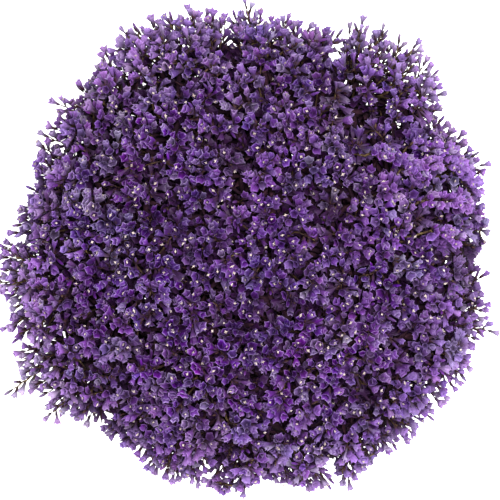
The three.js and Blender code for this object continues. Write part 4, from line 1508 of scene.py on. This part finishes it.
# %% Where the leaves cross the shade
LEAVES = [  # count, depths of their middles under the dome, widths, lengths
    (4200, (17, 34), (3.4, 5.4), (13, 26)),
    (3000, (36, 54), (6.5, 9.5), (26, 42)),
]
LOWEST_LEAF = 118  # height of the lowest leaves' middles
LEAF_PHASE = 0.3  # of a step, so that they don't line up with the flowers

leaf_rng = np.random.default_rng([SEED, 400])
leaf_spots = []
for count, depths, _, _ in LEAVES:
    spots = dome_point((np.arange(count) + LEAF_PHASE) * GOLDEN_ANGLE, even_latitudes(count))
    spots = spots - unit(spots - FOCUS) * leaf_rng.uniform(*depths, (count, 1))
    spots = spots[spots[:, 2] > LOWEST_LEAF]
    from_axis = np.hypot(spots[:, 0], spots[:, 1])
    leaf_spots += thinned([spots], np.interp(from_axis, *zip(*LOWER_THINNING)))
print([len(spots) for spots in leaf_spots], "leaves")

# %% Bracts and leaves of one head
BRACT_SIZES = (1.0, 1.45)
BRACT_TONES = (0, 0.5)
OLD_BRACTS = 0.07  # of the bracts are old and bleached,
OLD_BRACT_TONE = 0.6  # by so much
SHADE_DARK_LEAF_TONES = (-1.1, -0.3)  # darker than any twig: painted shade


def grow_bracts(wood, feet, rng):
    roots, axes = feet
    count = len(roots)
    grown = np.repeat(rng.uniform(*BRACT_SIZES, (count, 1)), 3, axis=1)
    old = np.where(rng.random(count) < OLD_BRACTS, OLD_BRACT_TONE, 0)
    wood.place(SCALE, roots, axes, grown, finish=1, tone=rng.uniform(*BRACT_TONES, count) + old)


def grow_leaves(wood, head, lines, rng):
    """Sets a leaf from the nearest twig through each of the head's leaf spots."""
    bark = np.concatenate(lines)
    finder = nearest_finder(bark)
    for (_, _, widths, lengths), spots in zip(LEAVES, leaf_spots):
        spots = spots[nearest_heads(spots)[0] == head]
        count = len(spots)
        places = np.array([bark[finder.find(spot)[1]] for spot in spots])
        reach = spots - places
        length = (np.linalg.norm(reach, axis=1) * 2).clip(*lengths)
        aims = unit(reach)
        across = unit(np.cross(unit(spots - FOCUS), aims))
        axes = np.stack([across, np.cross(aims, across), aims], axis=-1)
        width = rng.uniform(*widths, count) / LEAF_WIDTH
        grown = np.stack([width, rng.uniform(-1, 1, count), length / LEAF_LENGTH], axis=1)
        # the leaves' near-black tone is painted shade
        wood.place(LEAF, places, axes, grown, finish=1, tone=rng.uniform(*SHADE_DARK_LEAF_TONES, count))


print("leaf spots of head 1:", [int((nearest_heads(spots)[0] == 0).sum()) for spots in leaf_spots])

# %% Make the heads
triangles_made = 0
for head in HEADS:
    number = f"{head + 1:02d}"
    rng = np.random.default_rng([SEED, head])
    wood, lines = grow_branchlets(head, rng)
    flowers, feet = grow_flowers(head, rng)
    grow_lower_flowers(flowers, head, rng)
    grow_bracts(wood, feet, rng)
    grow_leaves(wood, head, lines, rng)
    calyces = flowers.make(f"calyces_{number}", [PAPER_FINISH, COROLLA_FINISH], PAPER_VALUES, smooth=False)
    branchlets = wood.make(f"branchlets_{number}", [TWIG_FINISH, BRACT_FINISH], PLANT_VALUES)
    for piece, slot in ((calyces, "calyx"), (branchlets, "stem")):
        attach(piece, "root")
        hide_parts(f"flower_head_{number}")
        triangles_made += len(piece.data.polygons)
print("heads:", triangles_made, "triangles")

# %% [markdown]
# ## Stems
# A statice stem isn't round: three thin wings run down it, waved like the edge of a ribbon. Each stem comes
# up straight through the tie and then arches out to its head, the way florists spiral a bunch so that it
# stands by itself. Its foot is cut level with the table, and at its top it parts into three branches.

# %% The line of each stem
WAIST_HEIGHT = 52  # of the tie over the table
STEM_RINGS = {  # how far from the axis a stem passes the waist, how thick it is, how far it leans
    "middle": dict(waist=0, radius=2.5, lean=0),
    "inner": dict(waist=5.0, radius=2.15, lean=0.42),
    "outer": dict(waist=9.2, radius=1.7, lean=0.8),
}
STRAIGHT_ABOVE_WAIST = 6
STEM_ARCH = 0.4  # how long a stem keeps its lean as it arches, of the way to its hub
STRAIGHT_POINTS = 15
ARCH_POINTS = 22


def waist_slots():
    """Where each stem passes the waist, as an angle round the axis."""
    slots = np.zeros(len(RINGS))
    for ring, shape in STEM_RINGS.items():
        members = [head for head in HEADS if RINGS[head] == ring]
        reach = np.hypot(HUB[members, 0], HUB[members, 1])
        turn = HEAD_AZIMUTH[members] - np.arccos(shape["waist"] / reach) if shape["waist"] else np.zeros(1)
        steps = np.arange(len(members)) * 2 * np.pi / len(members)
        slots[members] = (turn - steps).mean() + steps
    return slots


def stem_line(head, slot):
    """Points of a stem from the table to its hub, closer together where it arches."""
    ring = STEM_RINGS[RINGS[head]]
    cos, sin = math.cos(slot), math.sin(slot)
    waist = np.array([ring["waist"] * cos, ring["waist"] * sin, WAIST_HEIGHT])
    along = unit(np.array([-ring["lean"] * sin, ring["lean"] * cos, 1.0]))
    top = waist + along * STRAIGHT_ABOVE_WAIST
    foot = top - along * top[2] / along[2]
    straight = foot + (top - foot) * np.linspace(0, 1, STRAIGHT_POINTS)[:-1, None]
    control = top + along * STEM_ARCH * np.linalg.norm(top - HUB[head])
    return np.concatenate([straight, arch(top, control, HUB[head], np.linspace(0, 1, ARCH_POINTS))])


SLOTS = waist_slots()
print("the outer stems pass the waist", round(360 / len(OUTER_HEADS)), "degrees apart")

# %% Shape one stem
STEM_SIDES = 12
STEM_SHARES = (0.84, 0.78)  # of the radius, by turns: the ridges and furrows between the wings
WING = 0.55  # how far a full wing stands out, in radii
WING_WAVE = 0.25  # how much that varies along the stem,
WAVE_STEP = 1.9  # in radians from one point of the line to the next
WINGS_FROM, WINGS_FULL = 12, 30  # above the waist: where wings begin, and where they are full
HUB_SWELL = 1.35  # how much thicker the stem is where it forks
HUB_POINTS = 5  # of its line over which it thickens
BRANCH_RADII = (1.5, 1.15)
BRANCH_STEPS = 6
BRANCH_WANDER = 0.25
BRANCH_OVERLAP = 2  # how far a branch starts inside the stem
BRANCH_SECTION = np.tile([1.35, 0.8], 3)  # the wings carry on along the branches as three ridges
STEM_LEAVES = 4
LEAVES_FROM = 0.4  # they grow where the wings are at least so full
LEAF_LEAN = 0.35
STEM_TONES = (0.1, 0.5)
STEM_LEAF_SIZES = ([1.0, 1.0, 0.9], [1.5, 1.2, 1.5])
STEM_LEAF_TONE = 0.3


def places_on(line, count, rng):
    """Random points on a line, and the way that the line runs there."""
    spans = np.diff(line, axis=0)
    lengths = np.linalg.norm(spans, axis=1)
    chosen = rng.choice(len(spans), count, p=lengths / lengths.sum())
    share = rng.uniform(0, 1, (count, 1))
    return line[chosen] + spans[chosen] * share, unit(spans[chosen])


def make_stem(head, slot, rng):
    line = stem_line(head, slot)
    rise = np.clip((line[:, 2] - WAIST_HEIGHT - WINGS_FROM) / (WINGS_FULL - WINGS_FROM), 0, 1)
    wave = 1 + WING_WAVE * np.sin(np.arange(len(line)) * WAVE_STEP + rng.uniform(0, 6))
    section = np.tile(STEM_SHARES, (len(line), STEM_SIDES // 2))
    section[:, :: STEM_SIDES // 3] = (1.0 + WING * rise * wave)[:, None]
    radii = np.full(len(line), STEM_RINGS[RINGS[head]]["radius"])
    radii[-HUB_POINTS:] *= np.linspace(1, HUB_SWELL, HUB_POINTS)
    corners, triangles, values = tube(line, radii, STEM_SIDES, section)
    heading = unit(line[1] - line[0])
    foot = slice(0, STEM_SIDES + 1)
    corners[foot] -= heading * (corners[foot, 2:] / heading[2])
    stem = Gathering()
    stem.add((corners, triangles, values), tone=rng.uniform(*STEM_TONES))
    top = unit(line[-1] - line[-2])
    for end in BRANCH_ENDS[head]:
        start = line[-1] - top * BRANCH_OVERLAP
        leaving = unit(top + unit(end - line[-1]))
        branch = bend(start, leaving, end, BRANCH_STEPS, BRANCH_WANDER, rng)
        branch_radii = np.linspace(*BRANCH_RADII, len(branch))
        branch_tube = tube(branch, branch_radii, len(BRANCH_SECTION), BRANCH_SECTION)
        stem.add(branch_tube, tone=rng.uniform(*STEM_TONES))
    places, along = places_on(line[rise > LEAVES_FROM], STEM_LEAVES, rng)
    aims = unit(along + rng.normal(0, LEAF_LEAN, (STEM_LEAVES, 3)))
    grown = rng.uniform(*STEM_LEAF_SIZES, (STEM_LEAVES, 3))
    axes = axes_along(aims, rng.uniform(0, 6, STEM_LEAVES))
    stem.place(LEAF, places, axes, grown, finish=1, tone=np.full(STEM_LEAVES, STEM_LEAF_TONE))
    return stem


print("a full wing of the middle stem stands out", WING * STEM_RINGS["middle"]["radius"], "mm")

# %% Make the stems
for head in HEADS:
    number = f"{head + 1:02d}"
    stem = make_stem(head, SLOTS[head], np.random.default_rng([SEED, 100, head]))
    piece = stem.make(f"winged_stem_{number}", [STEM_FINISH, BRACT_FINISH], PLANT_VALUES)
    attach(piece, "root")
    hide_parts(f"stem_{number}")
    triangles_made += len(piece.data.polygons)
print("with stems:", triangles_made, "triangles")

# %% [markdown]
# ## Twine
# Jute twine is laid from three strands that twist round one another. It goes three times round the waist
# of the bunch, side by side, and is knotted. Twisting real strands costs few triangles, and keeps the
# groove between them when the light is low.

# %% Twist strands into twine
TWINE_RADIUS = 1.3
STRANDS = 3
STRAND_SIDES = 6
STRAND_SHARE = 0.54  # of the twine's radius
TWIST_LENGTH = 6.5  # along the twine for one full twist
TWINE_TONE = 0.25


def twine_along(points, radius):
    """Three strands round a dense line of points, each as corners, triangles and values."""
    points = np.asarray(points, float)
    steps = np.diff(points, axis=0)
    travelled = np.concatenate([[0], np.cumsum(np.linalg.norm(steps, axis=1))])
    heading = unit(np.gradient(points, axis=0))
    side = np.cross(heading[0], [0.3, 0.2, 1.0])
    sides_found = []
    for way in heading:
        side = unit(side - way * dot(side, way))
        sides_found.append(side)
    side = np.array(sides_found)
    up = np.cross(heading, side)
    for strand in range(STRANDS):
        angle = travelled * 2 * np.pi / TWIST_LENGTH + strand * 2 * np.pi / STRANDS
        offset = side * np.cos(angle)[:, None] + up * np.sin(angle)[:, None]
        middle = points + offset * radius * (1 - STRAND_SHARE)
        yield tube(middle, radius * STRAND_SHARE, STRAND_SIDES)


print("strands", round(2 * TWINE_RADIUS * STRAND_SHARE, 2), "mm thick")

# %% Wind the twine
TWINE_TURNS = 3
TURN_POINTS = 96
STEP_UP = 0.9  # of a turn is level, and the rest steps up to the next


def bundle_radius(rise):
    """The radius of the surface that the leaning outer stems touch, at a height above the waist."""
    outer = STEM_RINGS["outer"]
    return math.hypot(outer["waist"] + outer["radius"], rise * outer["lean"])


def wound_line():
    """Three flat turns side by side, each stepping up to the next just before the knot."""
    points = []
    for i in range(TWINE_TURNS * TURN_POINTS + 1):
        turn, share = divmod(i / TURN_POINTS, 1)
        step = min(turn + max(0.0, (share - STEP_UP) / (1 - STEP_UP)), TWINE_TURNS - 1)
        rise = (step - (TWINE_TURNS - 1) / 2) * 2 * TWINE_RADIUS
        angle = 2 * np.pi * share - np.pi / 2
        reach = bundle_radius(rise) + CLEARANCE + TWINE_RADIUS
        points.append([reach * math.cos(angle), reach * math.sin(angle), WAIST_HEIGHT + rise])
    return np.array(points)


wound = wound_line()
print("wound length", np.linalg.norm(np.diff(wound, axis=0), axis=1).sum().round(), "mm")

# %% Knot it
KNOT_SIZE = 0.837  # of the trefoil that the knot follows
KNOT_FLATNESS = 0.9
KNOT_POINTS = 60
KNOT_SHARE = 0.7  # the knot is pulled tight, which thins the twine
END_SHARE = 0.85  # and so are its ends, a little
END_POINTS = 34
END_BEND = np.array([9, -5, 2])  # from the knot, where a loose end bends, and where it stops:
END_TIP = np.array([12, -6, -18])  # the other end is its mirror image


def knot_line(middle):
    t = np.linspace(0, 2 * np.pi, KNOT_POINTS)
    around = [np.sin(t) + 2 * np.sin(2 * t), -np.sin(3 * t) * KNOT_FLATNESS, np.cos(t) - 2 * np.cos(2 * t)]
    return middle + np.stack(around, axis=1) * KNOT_SIZE


twine = Gathering()
knot_at = np.array([0.0, -(bundle_radius(0) + CLEARANCE + 2 * TWINE_RADIUS), WAIST_HEIGHT])
lines = [(wound, TWINE_RADIUS), (knot_line(knot_at), TWINE_RADIUS * KNOT_SHARE)]
for side in (-1, 1):
    bent = knot_at + END_BEND * [side, 1, 1]
    tip = knot_at + END_TIP * [side, 1, 1]
    lines.append((arch(knot_at, bent, tip, np.linspace(0, 1, END_POINTS)), TWINE_RADIUS * END_SHARE))
for line, radius in lines:
    for strand in twine_along(line, radius):
        twine.add(strand, tone=TWINE_TONE)
print(len(lines), "lengths of twine, with", twine.count, "corners")

# %% Loose fibres on the twine
FIBRES = 90
FIBRE_RADII = [0.09, 0.08, 0.06, 0.04]
FIBRE_TONE = 0.5
FIBRE_SPREAD = 3  # how wildly their directions differ, in millimetres off the line
FIBRE_FLATNESS = 0.4  # how much they point up or down with their place on the twine
FIBRE_ROOT = 0.8  # of the twine's radius
FIBRE_RISE = (0.4, 1.3)
FIBRE_DRIFT = (-3, 3)  # along the twine

fibre_rng = np.random.default_rng([SEED, 200])
for start in fibre_rng.integers(2, len(wound) - 2, FIBRES):
    outwards = (wound[start] - [0, 0, WAIST_HEIGHT]) * [1, 1, FIBRE_FLATNESS]
    outwards = unit(outwards + fibre_rng.normal(0, FIBRE_SPREAD, 3))
    along = unit(wound[start + 1] - wound[start])
    root = wound[start] + outwards * TWINE_RADIUS * FIBRE_ROOT
    tip = root + outwards * fibre_rng.uniform(*FIBRE_RISE) + along * fibre_rng.uniform(*FIBRE_DRIFT)
    fibre = bend(root, outwards, tip, len(FIBRE_RADII) - 1)
    twine.add(tube(fibre, FIBRE_RADII, sides=3), tone=FIBRE_TONE)
twine_piece = twine.make("jute_twine", [JUTE_FINISH], PLANT_VALUES)
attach(twine_piece, "root")
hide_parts("twine_tie")
triangles_made += len(twine_piece.data.polygons)
print("with the twine:", triangles_made, "triangles")

# %% [markdown]
# ## Table and light
# The bunch stands on a plain pale table. A pure white ground needs more light than the flowers do, so the
# table top glows a little, like the milk-glass of a product table. A wide soft lamp hangs overhead, a
# little to one side, and the white room fills in the rest.

# %% Table
TABLE_SIDE = 8.0  # metres
TABLE_GAP = 0.2 * MM  # under the cut ends, so that they don't flicker in and out of it
TABLE_GLOW = 1.3

half = TABLE_SIDE / 2
table_corners = [(x * half, y * half, -TABLE_GAP) for x, y in ((-1, -1), (1, -1), (1, 1), (-1, 1))]
table_mesh = bpy.data.meshes.new("table_top")
table_mesh.from_pydata(table_corners, [], [(0, 1, 2, 3)])
table = bpy.data.objects.new("table_top", table_mesh)
bpy.context.scene.collection.objects.link(table)
white, white_tree, _ = start_material("pale_table", [])
white_shader = add_node(
    white_tree, "ShaderNodeBsdfPrincipled",
    {"Base Color": linear("#f2f2f2"), "Roughness": 0.9, "Emission Color": linear("#ffffff"),
     "Emission Strength": TABLE_GLOW},
)
add_node(white_tree, "ShaderNodeOutputMaterial", {"Surface": white_shader.outputs[0]})
table_mesh.materials.append(white)
print("table", TABLE_SIDE, "m wide")

# %% Lamps and room
LAMPS_AIM = Vector((0.0, 0.0, 0.12))  # the middle of the dome, in metres
ROOM_LIGHT = 0.21


def soft_lamp(name, place, side, power):
    """A round lamp `side` metres wide that shines on the dome with `power` watts."""
    lamp = bpy.data.lights.new(name, "AREA")
    lamp.shape, lamp.size, lamp.energy = "DISK", side, power
    holder = bpy.data.objects.new(name, lamp)
    holder.location = place
    holder.rotation_euler = (LAMPS_AIM - Vector(place)).to_track_quat("-Z", "Y").to_euler()
    bpy.context.scene.collection.objects.link(holder)


soft_lamp("overhead_lamp", (0.3, 0.12, 1.9), 0.9, 81)
soft_lamp("side_lamp", (-0.3, -1.6, 1.0), 0.9, 26)
room = bpy.data.worlds.new("white_room")
room.use_nodes = True
room.node_tree.nodes["Background"].inputs["Color"].default_value = linear("#ffffff")
room.node_tree.nodes["Background"].inputs["Strength"].default_value = ROOM_LIGHT
bpy.context.scene.world = room
bpy.context.scene.view_settings.view_transform = "Standard"

# %% [markdown]
# ## Measure and finish
# The imported model's box is written down, in millimetres. The dressed bunch has to keep the imported
# model's size.

# %% Write the imported model's box
print("packed box:", np.round(np.array(CAD_BOX) / MM, 1).tolist())
